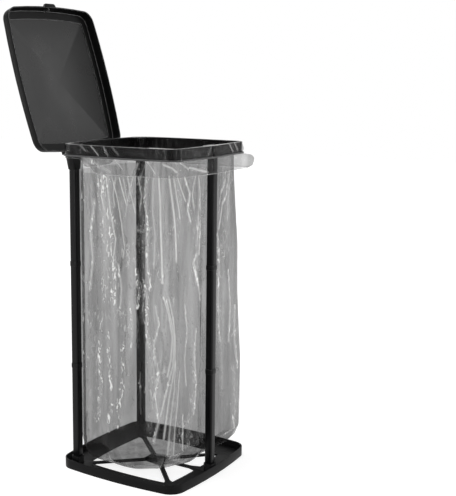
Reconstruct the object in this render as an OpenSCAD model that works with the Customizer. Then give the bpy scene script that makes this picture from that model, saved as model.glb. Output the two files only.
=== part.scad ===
// Free-standing holder for a bin bag, with a square base, three posts, a rim and a hinged lid.
// Millimetres, +Z up, the front towards -Y and the hinge towards +Y.
// The origin lies on the floor, in the middle of the base.

/* [Base] */
// Width of the base across the middle of its bowed sides
base_w = 380; // [370:1:400]
// Height of the wall round the base
base_wall_h = 24; // [20:1:30]
// Width of the flat tray between the wall's outside and the open window
tray_w = 55; // [50:1:60]
// Thickness of the tray, the spokes and the hub
tray_t = 4.8; // [4:0.1:6]
// Width of a spoke
spoke_w = 12; // [10:0.5:15]
// Wall thickness of the base and the rim
wall = 2.6; // [2.4:0.1:3]

/* [Posts] */
// Width of a post, which is a square tube with rounded edges
post_w = 20.5; // [19:0.5:21.5]
// Rounding of a post's edges
post_r = 4; // [3.5:0.5:5]
// Wall thickness of a post
post_wall = 1.8; // [1.6:0.1:2.2]
// Visible length of one of a post's three sections
section_len = 270; // [240:1:290]
// Depth of the plug that joins two sections
plug_len = 24; // [18:1:30]
// Height of the thicker mouth at the top of a section
mouth_h = 12; // [8:1:16]

/* [Rim] */
// Height of the rim that holds the bag open
rim_h = 30; // [28:1:34]
// Depth of the funnels below the rim that take the two rear posts
funnel_h = 34; // [26:1:40]

/* [Lid] */
// Depth of the lid's skirt
lid_depth = 25.6; // [24:0.2:28]
// Thickness of the lid's plate
lid_t = 2.2; // [2:0.1:2.6]
// How far the middle panel stands above the lid's border
panel_rise = 3.5; // [2:0.5:5]
// How far the panel's middle stands above the panel's edge
dome_rise = 4.5; // [1:0.5:6]
// Width of the lip at the front that lifts the lid
lip_w = 46; // [30:1:60]
// Angle from the closed lid to the open lid
lid_open = 106.4; // [95:0.2:110]

/* [Hinge] */
// Distance of each hinge from the middle of the rim
hinge_x = 62; // [50:1:110]
// Diameter of a hinge pin
pin_d = 5; // [4:0.5:5.5]
// Width of the bracket's knuckle between the lid's lugs
knuckle_w = 14; // [12:1:16]

/* [Bag and band] */
// Thickness of the solid that stands for the bag's film
film = 0.8; // [0.6:0.1:1]
// Length of the cuff that is turned down over the rim
cuff_len = 68; // [50:1:80]
// Diameter of the elastic cord where it is stretched round the rim
band_d = 4; // [3:0.5:4]
// Length of the metal ferrule that joins the ends of the elastic cord
ferrule_len = 21; // [16:1:26]

/* [Hidden] */

// A bowed square is [half width, half length, radius of its sides, radius of its corners].
side_steps = 3;
corner_steps = 12;
cut = 1;
lap = 0.1;
slide = 0.2;
plug_gap = 0.1;

// Base
base_half = base_w / 2;
base_shape = [base_half, base_half, base_w * 3.4, 41];
wall_step_h = base_wall_h * 0.55;
wall_step_t = 2;
window_lip_t = 2;
window_corner_r = 24;
window_half = base_half - tray_w;
window_shape = [window_half, window_half, base_w * 3, window_corner_r];
tray_underside = 2;
foot_pad_h = 5.2;
foot_wall = 2.8;
foot_depth = 18;
foot_z = tray_t + foot_pad_h;
spoke_flare_w = spoke_w * 2.4;
spoke_flare_len = 24;
spoke_corner = 0.97 * (window_half - 2);
spoke_root_rear = [12, 8];
spoke_root_side = [14, -24];
spoke_root_front = [0, -30];
hub_rear = [22, 23];
hub_side = [31, -25];
hub_front = [15, -48];
hub_chamfer = 1.2;

// Posts
plug_w = post_w - 2 * post_wall - 2 * plug_gap;
plug_r = post_r - post_wall;
plug_wall = 1.6;
shoulder_t = 3;
mouth_t = 1.2;

// Rim
rim_half = base_half - 13.5;
rim_shape = [rim_half, rim_half, base_w * 4.75, 31];
rim_z = foot_z + 3 * section_len;
rim_top = rim_z + rim_h;
bead_h = 3;
bead_w = 4.2;
socket_w = post_w + 2 * slide + 4.1;
socket_roof = 2.6;
rib_w = 2;
rib_depth = 2.2;
rib_pitch = 6;
roof_reach = 40;
boss_t = 2.2;
boss_floor_t = 3;
boss_w = post_w + 2 * boss_t;
boss_turn = 6;

// Places of the posts
rear_inset = [29.5, 30];
front_inset = 5.5;
rear_x = rim_half - rear_inset[0];
rear_y = rim_half - rear_inset[1];
front_y = -(rim_half - front_inset);

// Lid, described closed and then swung open
lid_over = [8.5, 20.5];
lid_corner = 36;
lid_half_x = rim_half + lid_over[0];
lid_half_y = rim_half + lid_over[1];
lid_shape = [lid_half_x, lid_half_y, base_w * 4.6, lid_corner];
lid_mid_y = 3.1;
lid_gap = 1.4;
lid_plate_z = rim_top + lid_gap;
lid_edge_z = lid_plate_z + lid_t - lid_depth;
skirt_t = 2.4;
border_w = 18;
shoulder_inset = 7;
panel_inset = shoulder_inset + border_w;
lip_reach = 8;
lip_t = 5;
lip_r = 8;
latch_w = 6;
latch_depth = 4;
latch_h = 18;

// Hinge
hinge_y = lid_mid_y + lid_half_y + 10.4;
hinge_z = lid_edge_z - 13;
knuckle_r = 8.5;
lug_r = 7.5;
lug_w = 5;
lug_gap = 0.4;
pin_head_d = pin_d + 3.5;
pin_head_t = 1.6;
pin_head_gap = 0.3;
pin_tail = 1;
bracket_bore = pin_d + 0.06;
lug_bore = pin_d + 0.14;
seat_w = 22;
seat_y = rim_half + 1.5;
seat_z = rim_z + 6.5;
seat_h = rim_h - 8.5;
seat_depth = 6.5;
bracket_plate_t = 3.5;
peg_d = 4;
peg_bore = peg_d + 0.2;
peg_len = 5.6;
peg_inset = 5;

// Bag
bag_shape = [rim_half - bead_w - 0.5, rim_half - bead_w - 0.5, base_w * 4.7, 26];
bag_floor = tray_t + hub_chamfer + 0.6;
bag_low_w = 208;
bag_bend_w = 268;
bag_knee_w = 316;
bag_low_r = 84;
bag_bend_r = 90;
bag_knee_r = 84;
bag_bend_z = 80;
bag_steps = 4;
wall_rings = 10;
fold_depth = 8;
fold_turns = [9, 14];
fold_reach = 150;
draw_turn = 225;
bag_draw = [
    [bag_floor, 35], [bag_floor + 7, 45], [bag_floor + 24, 45],
    [bag_bend_z, 10], [3 * bag_bend_z, 0]
];
corner_gap = 6;
corner_cut = rear_x + rear_y - socket_w - corner_gap;
notch_y = front_y + boss_w / 2 + 1.6;
notch_in = boss_w / 2 + 2;
notch_out = 45;
cuff_gap = 0.4;
film_top = rim_top + 0.2 + film;
corner_slack = [
    [bag_bend_z, 2], [rim_z * 0.34, 0], [rim_z * 0.55, 6],
    [rim_z * 0.73, 8], [rim_z * 0.95, 16], [film_top, 0]
];
hem_z = rim_top - cuff_len;
slot_gap = 1;

// Band
band_sides = 10;
band_offset = cuff_gap + film + 0.3 + (band_d + 1) / 2;
band_z = rim_z + band_d / 2 + 0.3;
ferrule_bore = band_d + 0.3;
ferrule_d = band_d + 1;

function arc(c, r, from, to, steps, first = 0) =
    [for (i = [first:steps])
        let (a = from + (to - from) * i / steps)
        [c[0] + r * cos(a), c[1] + r * sin(a)]];

// Middle of the corner circle, which touches both side circles from the inside.
function corner_middle(s) =
    let (a = [s[0] - s[2], 0])
    let (b = [0, s[1] - s[2]])
    let (u = (b - a) / norm(b - a))
    let (h = sqrt(pow(s[2] - s[3], 2) - pow(norm(b - a) / 2, 2)))
    (a + b) / 2 + h * [-u[1], u[0]];

// Outline of a quarter of a bowed square, inset by t, from the +X side to the +Y side.
function quarter(s, t = 0, n = corner_steps) =
    let (c = corner_middle(s))
    let (a = [s[0] - s[2], 0])
    let (b = [0, s[1] - s[2]])
    let (from = atan2(c[1], c[0] - a[0]))
    let (to = atan2(c[1] - b[1], c[0]))
    concat(
        arc(a, s[2] - t, 0, from, side_steps),
        arc(c, s[3] - t, from, to, n, 1),
        arc(b, s[2] - t, to, 90, side_steps, 1));

// Closed outline of a bowed square, inset by t.
function bowed(s, t = 0, steps = corner_steps) =
    let (q = quarter(s, t, steps))
    let (n = len(q))
    concat(
        [for (i = [0:n - 2]) q[i]],
        [for (i = [n - 1:-1:1]) [-q[i][0], q[i][1]]],
        [for (i = [0:n - 2]) -q[i]],
        [for (i = [n - 1:-1:1]) [q[i][0], -q[i][1]]]);

// Outline of a square with rounded corners.
function rounded_square(w, r) =
    let (m = w / 2 - r)
    concat(
        arc([m, m], r, 0, 90, 6),
        arc([-m, m], r, 90, 180, 6),
        arc([-m, -m], r, 180, 270, 6),
        arc([m, -m], r, 270, 360, 6));

// Line of a film or cord that is stretched round the rim and its front boss, d outside them.
function stretched(d) =
    let (q = quarter(rim_shape, -d))
    let (n = len(q))
    let (k = side_steps + corner_steps)
    let (m = [boss_w / 2 - post_r, -front_y + boss_w / 2 - post_r])
    concat(
        [for (i = [0:n - 2]) q[i]],
        [for (i = [n - 1:-1:1]) [-q[i][0], q[i][1]]],
        [for (i = [0:k]) -q[i]],
        arc([-m[0], -m[1]], post_r + d, 270 - boss_turn, 270, 1),
        arc([m[0], -m[1]], post_r + d, 270, 270 + boss_turn, 1),
        [for (i = [k:-1:1]) [q[i][0], -q[i][1]]]);

// Distance from the middle to a bowed square's +Y side, at a distance x from its middle.
function side_at(s, x) = s[1] - s[2] + sqrt(s[2] * s[2] - x * x);

// Solid through a stack of outlines, which have equal numbers of points.
module loft(rings, heights) {
    n = len(rings[0]);
    last = len(rings) - 1;
    polyhedron(
        points = [for (k = [0:last]) for (p = rings[k]) [p[0], p[1], heights[k]]],
        faces = concat(
            [[for (i = [0:n - 1]) i]],
            [for (k = [0:last - 1]) for (i = [0:n - 1])
                [k * n + i, (k + 1) * n + i, (k + 1) * n + (i + 1) % n, k * n + (i + 1) % n]],
            [[for (i = [n - 1:-1:0]) last * n + i]]));
}

// Low peak over an outline.
module peak(outline, base_z, edge_z, top_z) {
    n = len(outline);
    polyhedron(
        points = concat(
            [for (p = outline) [p[0], p[1], base_z]],
            [for (p = outline) [p[0], p[1], edge_z]],
            [[0, 0, top_z]]),
        faces = concat(
            [[for (i = [0:n - 1]) i]],
            [for (i = [0:n - 1]) [i, n + i, n + (i + 1) % n, (i + 1) % n]],
            [for (i = [0:n - 1]) [n + i, 2 * n, n + (i + 1) % n]]));
}

// Round cord along a closed line in one level plane.
module closed_cord(line, r, sides) {
    n = len(line);
    polyhedron(
        points = [for (i = [0:n - 1])
            let (t = line[(i + 1) % n] - line[(i + n - 1) % n])
            let (out = [t[1], -t[0]] / norm(t))
            for (j = [0:sides - 1])
                let (a = 360 * j / sides)
                [line[i][0] + r * cos(a) * out[0], line[i][1] + r * cos(a) * out[1], r * sin(a)]],
        faces = [for (i = [0:n - 1]) for (j = [0:sides - 1])
            [i * sides + j, i * sides + (j + 1) % sides,
             ((i + 1) % n) * sides + (j + 1) % sides, ((i + 1) % n) * sides + j]]);
}

// Profile drawn as [y, z] and given a width along X.
module across(x, w) {
    translate([x - w / 2, 0, 0])
        rotate([90, 0, 90])
            linear_extrude(w)
                children();
}

module upright(z, h) {
    translate([0, 0, z])
        linear_extrude(h)
            children();
}

module bowed_ring(s, from, to, z, h) {
    upright(z, h) difference() {
        polygon(bowed(s, from));
        polygon(bowed(s, to));
    }
}

module square_tube(w, r, t, z, h) {
    upright(z, h) difference() {
        polygon(rounded_square(w, r));
        polygon(rounded_square(w - 2 * t, r - t));
    }
}

// Base

module spoke(from, to) {
    way = to - from;
    reach = norm(way);
    bar = spoke_w / 2;
    flare = spoke_flare_w / 2;
    upright(0, tray_t)
        translate(from)
            rotate(atan2(way[1], way[0]))
                polygon([
                    [0, -bar], [reach - spoke_flare_len, -bar], [reach, -flare],
                    [reach, flare], [reach - spoke_flare_len, bar], [0, bar]
                ]);
}

module hub() {
    outline = [
        hub_rear, [-hub_rear[0], hub_rear[1]], [-hub_side[0], hub_side[1]],
        [-hub_front[0], hub_front[1]], hub_front, hub_side
    ];
    upright(0, tray_t) polygon(outline);
    upright(tray_t, hub_chamfer) scale(0.86) polygon(outline);
}

module foot_socket(place) {
    translate([place[0], place[1], 0]) {
        upright(tray_underside, foot_z - tray_underside)
            polygon(rounded_square(post_w + 2 * slide + 2 * foot_wall, post_r + foot_wall));
        square_tube(post_w + 2 * slide + 2 * foot_wall, post_r + foot_wall, foot_wall,
            foot_z, foot_depth);
    }
}

module base_frame() {
    color("#1c1c1d") union() {
        bowed_ring(base_shape, 0, wall, 0, base_wall_h);
        bowed_ring(base_shape, wall - lap, wall + wall_step_t, tray_underside,
            wall_step_h - tray_underside);
        upright(tray_underside, tray_t - tray_underside) difference() {
            polygon(bowed(base_shape, wall / 2));
            polygon(bowed(window_shape));
        }
        bowed_ring(window_shape, -window_lip_t, 0, 0, tray_t);
        for (side = [-1, 1]) {
            spoke([side * spoke_root_rear[0], spoke_root_rear[1]], [side, 1] * spoke_corner);
            spoke([side * spoke_root_side[0], spoke_root_side[1]], [side, -1] * spoke_corner);
            foot_socket([side * rear_x, rear_y]);
        }
        spoke(spoke_root_front, [0, -window_half - window_lip_t / 2]);
        foot_socket([0, front_y]);
        hub();
    }
}

// Posts

// Plug at the foot of a section, and the shoulder that joins it to the tube.
module plug(z) {
    upright(z - plug_len, plug_len + shoulder_t) difference() {
        polygon(rounded_square(plug_w, plug_r));
        polygon(rounded_square(plug_w - 2 * plug_wall, plug_r / 2));
    }
    upright(z, shoulder_t) difference() {
        polygon(rounded_square(post_w - post_wall, post_r - post_wall / 2));
        polygon(rounded_square(plug_w - plug_wall, plug_r));
    }
}

module post_section(place, z, has_plug, has_mouth) {
    color("#1f1f20") translate([place[0], place[1], 0]) union() {
        square_tube(post_w, post_r, post_wall, z, section_len);
        if (has_plug)
            plug(z);
        if (has_mouth)
            square_tube(post_w + 2 * mouth_t, post_r + mouth_t, mouth_t + 4 * lap,
                z + section_len - mouth_h, mouth_h);
    }
}

module lower_section(place) {
    post_section(place, foot_z, false, true);
}

module middle_section(place) {
    post_section(place, foot_z + section_len, true, true);
}

module upper_section(place) {
    post_section(place, foot_z + 2 * section_len, true, false);
}

module rear_left_post_lower() { lower_section([-rear_x, rear_y]); }
module rear_left_post_middle() { middle_section([-rear_x, rear_y]); }
module rear_left_post_upper() { upper_section([-rear_x, rear_y]); }
module rear_right_post_lower() { lower_section([rear_x, rear_y]); }
module rear_right_post_middle() { middle_section([rear_x, rear_y]); }
module rear_right_post_upper() { upper_section([rear_x, rear_y]); }
module front_post_lower() { lower_section([0, front_y]); }
module front_post_middle() { middle_section([0, front_y]); }
module front_post_upper() { upper_section([0, front_y]); }

// Rim

// Outline of the rim's corner above a rear post.
module rim_corner(side) {
    intersection() {
        polygon(bowed(rim_shape));
        translate([side * (rear_x + roof_reach / 2), rear_y + roof_reach / 2])
            square(roof_reach + socket_w, center = true);
    }
}

module rear_socket(side) {
    place = [side * rear_x, rear_y];
    hold_w = post_w + 2 * slide;
    stop_w = hold_w - 5;
    slab = 1;
    difference() {
        union() {
            hull() {
                upright(rim_z, slab) rim_corner(side);
                upright(rim_z - funnel_h, slab)
                    translate(place) polygon(rounded_square(socket_w, post_r + 2));
            }
            upright(rim_z, rim_h)
                translate(place) polygon(rounded_square(socket_w, post_r + 2));
            upright(rim_top - socket_roof, socket_roof) rim_corner(side);
            for (k = [-1:1]) {
                upright(rim_z, rim_h)
                    translate([place[0] - side * (socket_w + rib_depth) / 2, place[1] + k * rib_pitch])
                        square([rib_depth + cut, rib_w], center = true);
                upright(rim_z, rim_h)
                    translate([place[0] + k * rib_pitch, place[1] - (socket_w + rib_depth) / 2])
                        square([rib_w, rib_depth + cut], center = true);
            }
        }
        upright(rim_z - funnel_h - cut, funnel_h + cut)
            translate(place) polygon(rounded_square(hold_w, post_r));
        upright(rim_z - cut, rim_h + cut - socket_roof)
            translate(place) polygon(rounded_square(stop_w, post_r - 1));
    }
}

module front_boss() {
    translate([0, front_y, 0]) {
        upright(rim_z, boss_floor_t) polygon(rounded_square(boss_w, post_r + 1));
        square_tube(boss_w, post_r + 1, boss_t, rim_z, rim_h);
        square_tube(plug_w, plug_r, plug_wall, rim_z - plug_len, plug_len + cut);
    }
}

module bracket_seat(side) {
    difference() {
        translate([side * hinge_x - seat_w / 2, seat_y - seat_depth, seat_z])
            cube([seat_w, seat_depth, seat_h]);
        for (z = [seat_z + peg_inset, seat_z + seat_h - peg_inset])
            translate([side * hinge_x, seat_y + cut, z])
                rotate([90, 0, 0])
                    cylinder(h = peg_len + 0.3 + cut, d = peg_bore, $fn = 32);
    }
}

module bag_rim() {
    color("#1c1c1d") union() {
        difference() {
            union() {
                bowed_ring(rim_shape, 0, wall, rim_z, rim_h);
                bowed_ring(rim_shape, wall / 2, bead_w, rim_top - bead_h, bead_h);
            }
            upright(rim_z + boss_floor_t, rim_h) translate([0, front_y])
                polygon(rounded_square(boss_w - 2 * boss_t, post_r - 1));
            for (side = [-1, 1])
                translate([side * hinge_x - seat_w / 2 + cut, seat_y - seat_depth + cut / 2, seat_z + cut])
                    cube([seat_w - 2 * cut, seat_depth, seat_h - 2 * cut]);
        }
        for (side = [-1, 1]) {
            rear_socket(side);
            bracket_seat(side);
        }
        front_boss();
    }
}

// Hinge

module hinge_bracket(side) {
    x = side * hinge_x;
    plate_y = seat_y + bracket_plate_t;
    under_lid = lid_edge_z - 1.5;
    color("#202021") difference() {
        union() {
            translate([x - seat_w / 2, seat_y, seat_z])
                cube([seat_w, bracket_plate_t, seat_h]);
            for (z = [seat_z + peg_inset, seat_z + seat_h - peg_inset])
                translate([x, seat_y + cut, z])
                    rotate([90, 0, 0])
                        cylinder(h = peg_len + cut, d = peg_d, $fn = 32);
            across(x, knuckle_w) polygon([
                [plate_y - cut, seat_z + seat_h - 1],
                [plate_y + 0.5, seat_z + seat_h - 1],
                [side_at(lid_shape, hinge_x) + lid_mid_y - skirt_t - 2, under_lid],
                [hinge_y - 2, hinge_z + knuckle_r - 0.4],
                [hinge_y, hinge_z],
                [hinge_y - 6, hinge_z - 5.8],
                [plate_y + 2.5, seat_z - 0.5],
                [plate_y - cut, seat_z]
            ]);
            translate([x - knuckle_w / 2, hinge_y, hinge_z])
                rotate([0, 90, 0])
                    cylinder(h = knuckle_w, r = knuckle_r, $fn = 64);
        }
        translate([x - knuckle_w, hinge_y, hinge_z])
            rotate([0, 90, 0])
                cylinder(h = 2 * knuckle_w, d = bracket_bore, $fn = 64);
    }
}

module hinge_bracket_left() { hinge_bracket(-1); }
module hinge_bracket_right() { hinge_bracket(1); }

module hinge_pin(side) {
    half = knuckle_w / 2 + lug_gap + lug_w;
    color("#8a8c8e")
        translate([side * hinge_x, hinge_y, hinge_z])
            rotate([0, side * 90, 0]) {
                translate([0, 0, -half - pin_tail])
                    cylinder(h = 2 * half + pin_tail + pin_head_gap + 0.2, d = pin_d, $fn = 64);
                translate([0, 0, half + pin_head_gap])
                    cylinder(h = pin_head_t, d = pin_head_d, $fn = 64);
            }
}

module hinge_pin_left() { hinge_pin(-1); }
module hinge_pin_right() { hinge_pin(1); }

// Lid

module lid_shell() {
    outer = [[0, 0], [lid_depth * 0.7, 1.8], [lid_depth * 0.9, 3.2], [lid_depth, shoulder_inset]];
    room = lid_depth - lid_t;
    inner = [[-cut, skirt_t], [room * 0.77, 4.2], [room * 0.93, 4.8], [room, 6]];
    difference() {
        union() {
            loft([for (k = outer) bowed(lid_shape, k[1])], [for (k = outer) k[0]]);
            peak(bowed(lid_shape, panel_inset), lid_depth - lid_t / 2, lid_depth + panel_rise,
                lid_depth + panel_rise + dome_rise);
        }
        loft([for (k = inner) bowed(lid_shape, k[1])], [for (k = inner) k[0]]);
        peak(bowed(lid_shape, panel_inset + lid_t), room - cut, room + panel_rise,
            room + panel_rise + dome_rise);
    }
}

module lid_lip() {
    edge = -side_at(lid_shape, 0);
    upright(0, lip_t) polygon(concat(
        arc([-lip_w / 2 + lip_r, edge - lip_reach + lip_r], lip_r, 180, 270, 6),
        arc([lip_w / 2 - lip_r, edge - lip_reach + lip_r], lip_r, 270, 360, 6),
        [[lip_w / 2, edge + skirt_t / 2], [-lip_w / 2, edge + skirt_t / 2]]));
}

module latch_rib() {
    face = -side_at(lid_shape, 0) + skirt_t / 2;
    top = lid_depth - lid_t / 2;
    translate([-latch_w / 2, face, top - latch_h])
        cube([latch_w, latch_depth + skirt_t, latch_h]);
}

module lid_lug(x) {
    skirt = side_at(lid_shape, abs(x)) + lid_mid_y - 1.2 - hinge_y;
    high = lid_edge_z + lid_depth * 0.78 - hinge_z;
    low = lid_edge_z + 0.4 - hinge_z;
    translate([0, hinge_y, hinge_z]) difference() {
        union() {
            across(x, lug_w) polygon([
                [skirt, low], [skirt - 2.2, high], [skirt + 6, high],
                [lug_r * 0.95, lug_r * 0.3], [0, 0], [-lug_r * 0.6, -lug_r * 0.6]
            ]);
            translate([x - lug_w / 2, 0, 0])
                rotate([0, 90, 0])
                    cylinder(h = lug_w, r = lug_r, $fn = 64);
        }
        translate([x - lug_w, 0, 0])
            rotate([0, 90, 0])
                cylinder(h = 2 * lug_w, d = lug_bore, $fn = 64);
    }
}

module lid() {
    lug_x = knuckle_w / 2 + lug_gap + lug_w / 2;
    color("#1b1b1c")
        translate([0, hinge_y, hinge_z])
            rotate([-lid_open, 0, 0])
                translate([0, -hinge_y, -hinge_z])
                    union() {
                        translate([0, lid_mid_y, lid_edge_z]) {
                            lid_shell();
                            lid_lip();
                            latch_rib();
                        }
                        for (side = [-1, 1])
                            for (end = [-1, 1])
                                lid_lug(side * hinge_x + end * lug_x);
                    }
}

// Bag

module post_cuts(t) {
    far = 2 * rim_half;
    reach = corner_cut - t * sqrt(2);
    for (side = [-1, 1])
        polygon([[side * (reach - far), far], [side * far, far], [side * far, reach - far]]);
    polygon([
        [-notch_in - t / 2, notch_y + t], [-notch_out - t / 2, -far],
        [notch_out + t / 2, -far], [notch_in + t / 2, notch_y + t]
    ]);
}

// Depth of the folds at a turn a and a height z, from 0 to 1.
function fold_wave(a, z) =
    min(1, (film_top - z) / fold_reach) * (0.5
        + 0.3 * cos(fold_turns[0] * a + 70 * sin(z / 3.2))
        + 0.2 * cos(fold_turns[1] * a - 50 * sin(z / 4.1)));

// Point p of the film at a height z, set back by the folds, the front corners and the drawn-in bottom.
function sagged(p, z) =
    let (a = atan2(p[1], p[0]))
    let (corner = a < 0 ? max(0, abs(sin(2 * a)) - 0.8) * 5 : 0)
    let (drawn = pow(max(0, cos(a - draw_turn)), 2) * lookup(z, bag_draw))
    let (back = max(fold_depth * fold_wave(a, z), corner * lookup(z, corner_slack)))
    p * (1 - (back + drawn) / norm(p));

// Height and outline of each ring of the bag.
bag_rings = concat(
    [
        [bag_floor, [bag_low_w / 2, bag_low_w / 2, bag_shape[2], bag_low_r]],
        [bag_floor + 7, [bag_bend_w / 2, bag_bend_w / 2, bag_shape[2], bag_bend_r]],
        [bag_floor + 24, [bag_knee_w / 2, bag_knee_w / 2, bag_shape[2], bag_knee_r]]
    ],
    [for (i = [0:wall_rings]) [bag_bend_z + (film_top - bag_bend_z) * i / wall_rings, bag_shape]]);

// Room inside the bag, or the bag's outer form when t is 0.
module bag_form(t, top) {
    difference() {
        loft(
            [for (k = bag_rings) [for (p = bowed(k[1], t, bag_steps)) sagged(p, k[0])]],
            [for (k = bag_rings) k[0] + (k[0] < bag_bend_z ? t : k[0] < film_top ? 0 : top - film_top)]);
        upright(0, top + 2 * cut) post_cuts(t);
    }
}

module bin_bag() {
    color([0.62, 0.62, 0.63, 0.6]) difference() {
        union() {
            bag_form(0, film_top);
            upright(hem_z, film_top - hem_z) difference() {
                polygon(stretched(cuff_gap + film));
                polygon(stretched(cuff_gap));
            }
            upright(film_top - film, film) polygon(stretched(cuff_gap + film));
        }
        bag_form(film, film_top + cut);
        for (side = [-1, 1])
            translate([side * hinge_x - seat_w / 2 - slot_gap, seat_y - seat_depth, seat_z - slot_gap])
                cube([seat_w + 2 * slot_gap, rim_half, seat_h + rim_h]);
    }
}

// Elastic band

module elastic_band() {
    color("#18181a")
        translate([0, 0, band_z])
            closed_cord(stretched(band_offset), band_d / 2, band_sides);
}

module band_ferrule() {
    color("#c9cbcc")
        translate([-ferrule_len / 2, rim_half + band_offset, band_z])
            rotate([0, 90, 0])
                difference() {
                    cylinder(h = ferrule_len, d = ferrule_d, $fn = 48);
                    translate([0, 0, -cut])
                        cylinder(h = ferrule_len + 2 * cut, d = ferrule_bore, $fn = 48);
                }
}

base_frame();
rear_left_post_lower();
rear_left_post_middle();
rear_left_post_upper();
rear_right_post_lower();
rear_right_post_middle();
rear_right_post_upper();
front_post_lower();
front_post_middle();
front_post_upper();
bag_rim();
hinge_bracket_left();
hinge_bracket_right();
hinge_pin_left();
hinge_pin_right();
lid();
bin_bag();
elastic_band();
band_ferrule();
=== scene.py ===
"""Looks of a free-standing bin bag holder: base, posts, rim, lid, film bag and elastic band.

Metres, +Z up, the front towards -Y and the hinge towards +Y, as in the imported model.
"""

from __future__ import annotations

import logging
import math
from dataclasses import dataclass
from enum import Enum
from typing import Sequence

import bmesh
import bpy
from mathutils import Matrix, Vector, noise

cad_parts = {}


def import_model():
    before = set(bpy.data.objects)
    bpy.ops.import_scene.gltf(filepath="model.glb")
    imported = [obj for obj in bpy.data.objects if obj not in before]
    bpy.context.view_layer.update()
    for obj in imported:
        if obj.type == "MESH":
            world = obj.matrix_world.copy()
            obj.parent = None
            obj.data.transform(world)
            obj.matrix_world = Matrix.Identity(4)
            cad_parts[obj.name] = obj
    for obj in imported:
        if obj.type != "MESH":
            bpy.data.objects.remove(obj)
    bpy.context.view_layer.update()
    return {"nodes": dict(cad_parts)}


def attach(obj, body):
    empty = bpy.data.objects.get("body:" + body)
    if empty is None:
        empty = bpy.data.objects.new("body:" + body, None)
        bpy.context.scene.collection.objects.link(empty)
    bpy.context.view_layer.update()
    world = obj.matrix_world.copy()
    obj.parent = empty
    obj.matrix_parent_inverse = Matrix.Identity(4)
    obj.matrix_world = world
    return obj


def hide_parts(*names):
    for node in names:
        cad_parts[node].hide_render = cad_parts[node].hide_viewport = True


log = logging.getLogger("bin_bag_holder")

MM = 0.001
PHOTO_WIDTH = 456
PHOTO_HEIGHT = 496

Point2 = tuple[float, float]


class Body(Enum):
    """The two bodies that the hinge joins."""

    STAND = "stand"
    LID = "lid"


class Slot(Enum):
    """Material slots."""

    BLACK_PLASTIC = "black_plastic"
    POST_PLASTIC = "post_plastic"
    PIN_STEEL = "pin_steel"
    BAG_FILM = "bag_film"
    ELASTIC_CORD = "elastic_cord"
    FERRULE_METAL = "ferrule_metal"


# Small tools


def srgb(code: str) -> tuple[float, float, float, float]:
    """Turns an sRGB hex colour into the linear one that a socket takes.

    Args:
        code: A colour such as "#1c1c1d".

    Returns:
        Linear red, green and blue, and an alpha of 1.
    """
    values = []
    for start in (1, 3, 5):
        level = int(code[start : start + 2], 16) / 255
        values.append(level / 12.92 if level <= 0.04045 else ((level + 0.055) / 1.055) ** 2.4)
    return (values[0], values[1], values[2], 1.0)


def add_node(
    tree: bpy.types.NodeTree,
    kind: str,
    settings: dict[str | int, object] | None = None,
    links: dict[str | int, bpy.types.NodeSocket] | None = None,
) -> bpy.types.Node:
    """Adds a node with its settings and links.

    Args:
        tree: The node tree that takes the node.
        kind: The node's type.
        settings: Values by input name or number, or by property name.
        links: Output sockets by the name or number of the input that they feed.

    Returns:
        The new node.
    """
    node = tree.nodes.new(kind)
    for name, value in (settings or {}).items():
        if isinstance(name, int) or name in node.inputs:
            node.inputs[name].default_value = value
        else:
            setattr(node, name, value)
    for name, source in (links or {}).items():
        tree.links.new(source, node.inputs[name])
    return node


def blank_material(name: str) -> tuple[bpy.types.Material, bpy.types.NodeTree]:
    """Makes a node material with an empty tree.

    Args:
        name: The material's name.

    Returns:
        The material and its node tree.
    """
    material = bpy.data.materials.new(name)
    material.use_nodes = True
    material.node_tree.nodes.clear()
    return material, material.node_tree


def smoothstep(low: float, high: float, value: float) -> float:
    """Rises smoothly from 0 at low to 1 at high."""
    t = min(1.0, max(0.0, (value - low) / (high - low)))
    return t * t * (3 - 2 * t)


def along(table: Sequence[Point2], value: float) -> float:
    """Reads a table of rising keys by straight interpolation.

    Args:
        table: Pairs of key and value, with rising keys.
        value: The key to read.

    Returns:
        The value at that key, held level past both ends.
    """
    if value <= table[0][0]:
        return table[0][1]
    for (k0, v0), (k1, v1) in zip(table, table[1:]):
        if value <= k1:
            return v0 + (v1 - v0) * (value - k0) / (k1 - k0)
    return table[-1][1]


def as_piece(
    bm: bmesh.types.BMesh,
    name: str,
    materials: Sequence[bpy.types.Material],
    body: Body,
    replaces: Sequence[str] = (),
    smooth_angle: float = 30.0,
) -> bpy.types.Object:
    """Turns a bmesh into a piece of the object that rides on a body.

    Args:
        bm: The finished bmesh, which is freed.
        name: The piece's name.
        materials: Its materials, in the order of its faces' numbers.
        body: The body that carries it.
        replaces: CAD nodes that it stands for.
        smooth_angle: Edges sharper than this many degrees stay sharp.

    Returns:
        The new object.
    """
    mesh = bpy.data.meshes.new(name)
    for face in bm.faces:
        face.smooth = True
    for edge in bm.edges:
        if len(edge.link_faces) == 2:
            edge.smooth = edge.calc_face_angle(0.0) < math.radians(smooth_angle)
    bm.to_mesh(mesh)
    bm.free()
    for material in materials:
        mesh.materials.append(material)
    piece = bpy.data.objects.new(name, mesh)
    bpy.context.scene.collection.objects.link(piece)
    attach(piece, body.value)
    if replaces:
        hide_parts(*replaces)
    log.info("%s: %d faces on %s", name, len(mesh.polygons), body.value)
    return piece


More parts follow.
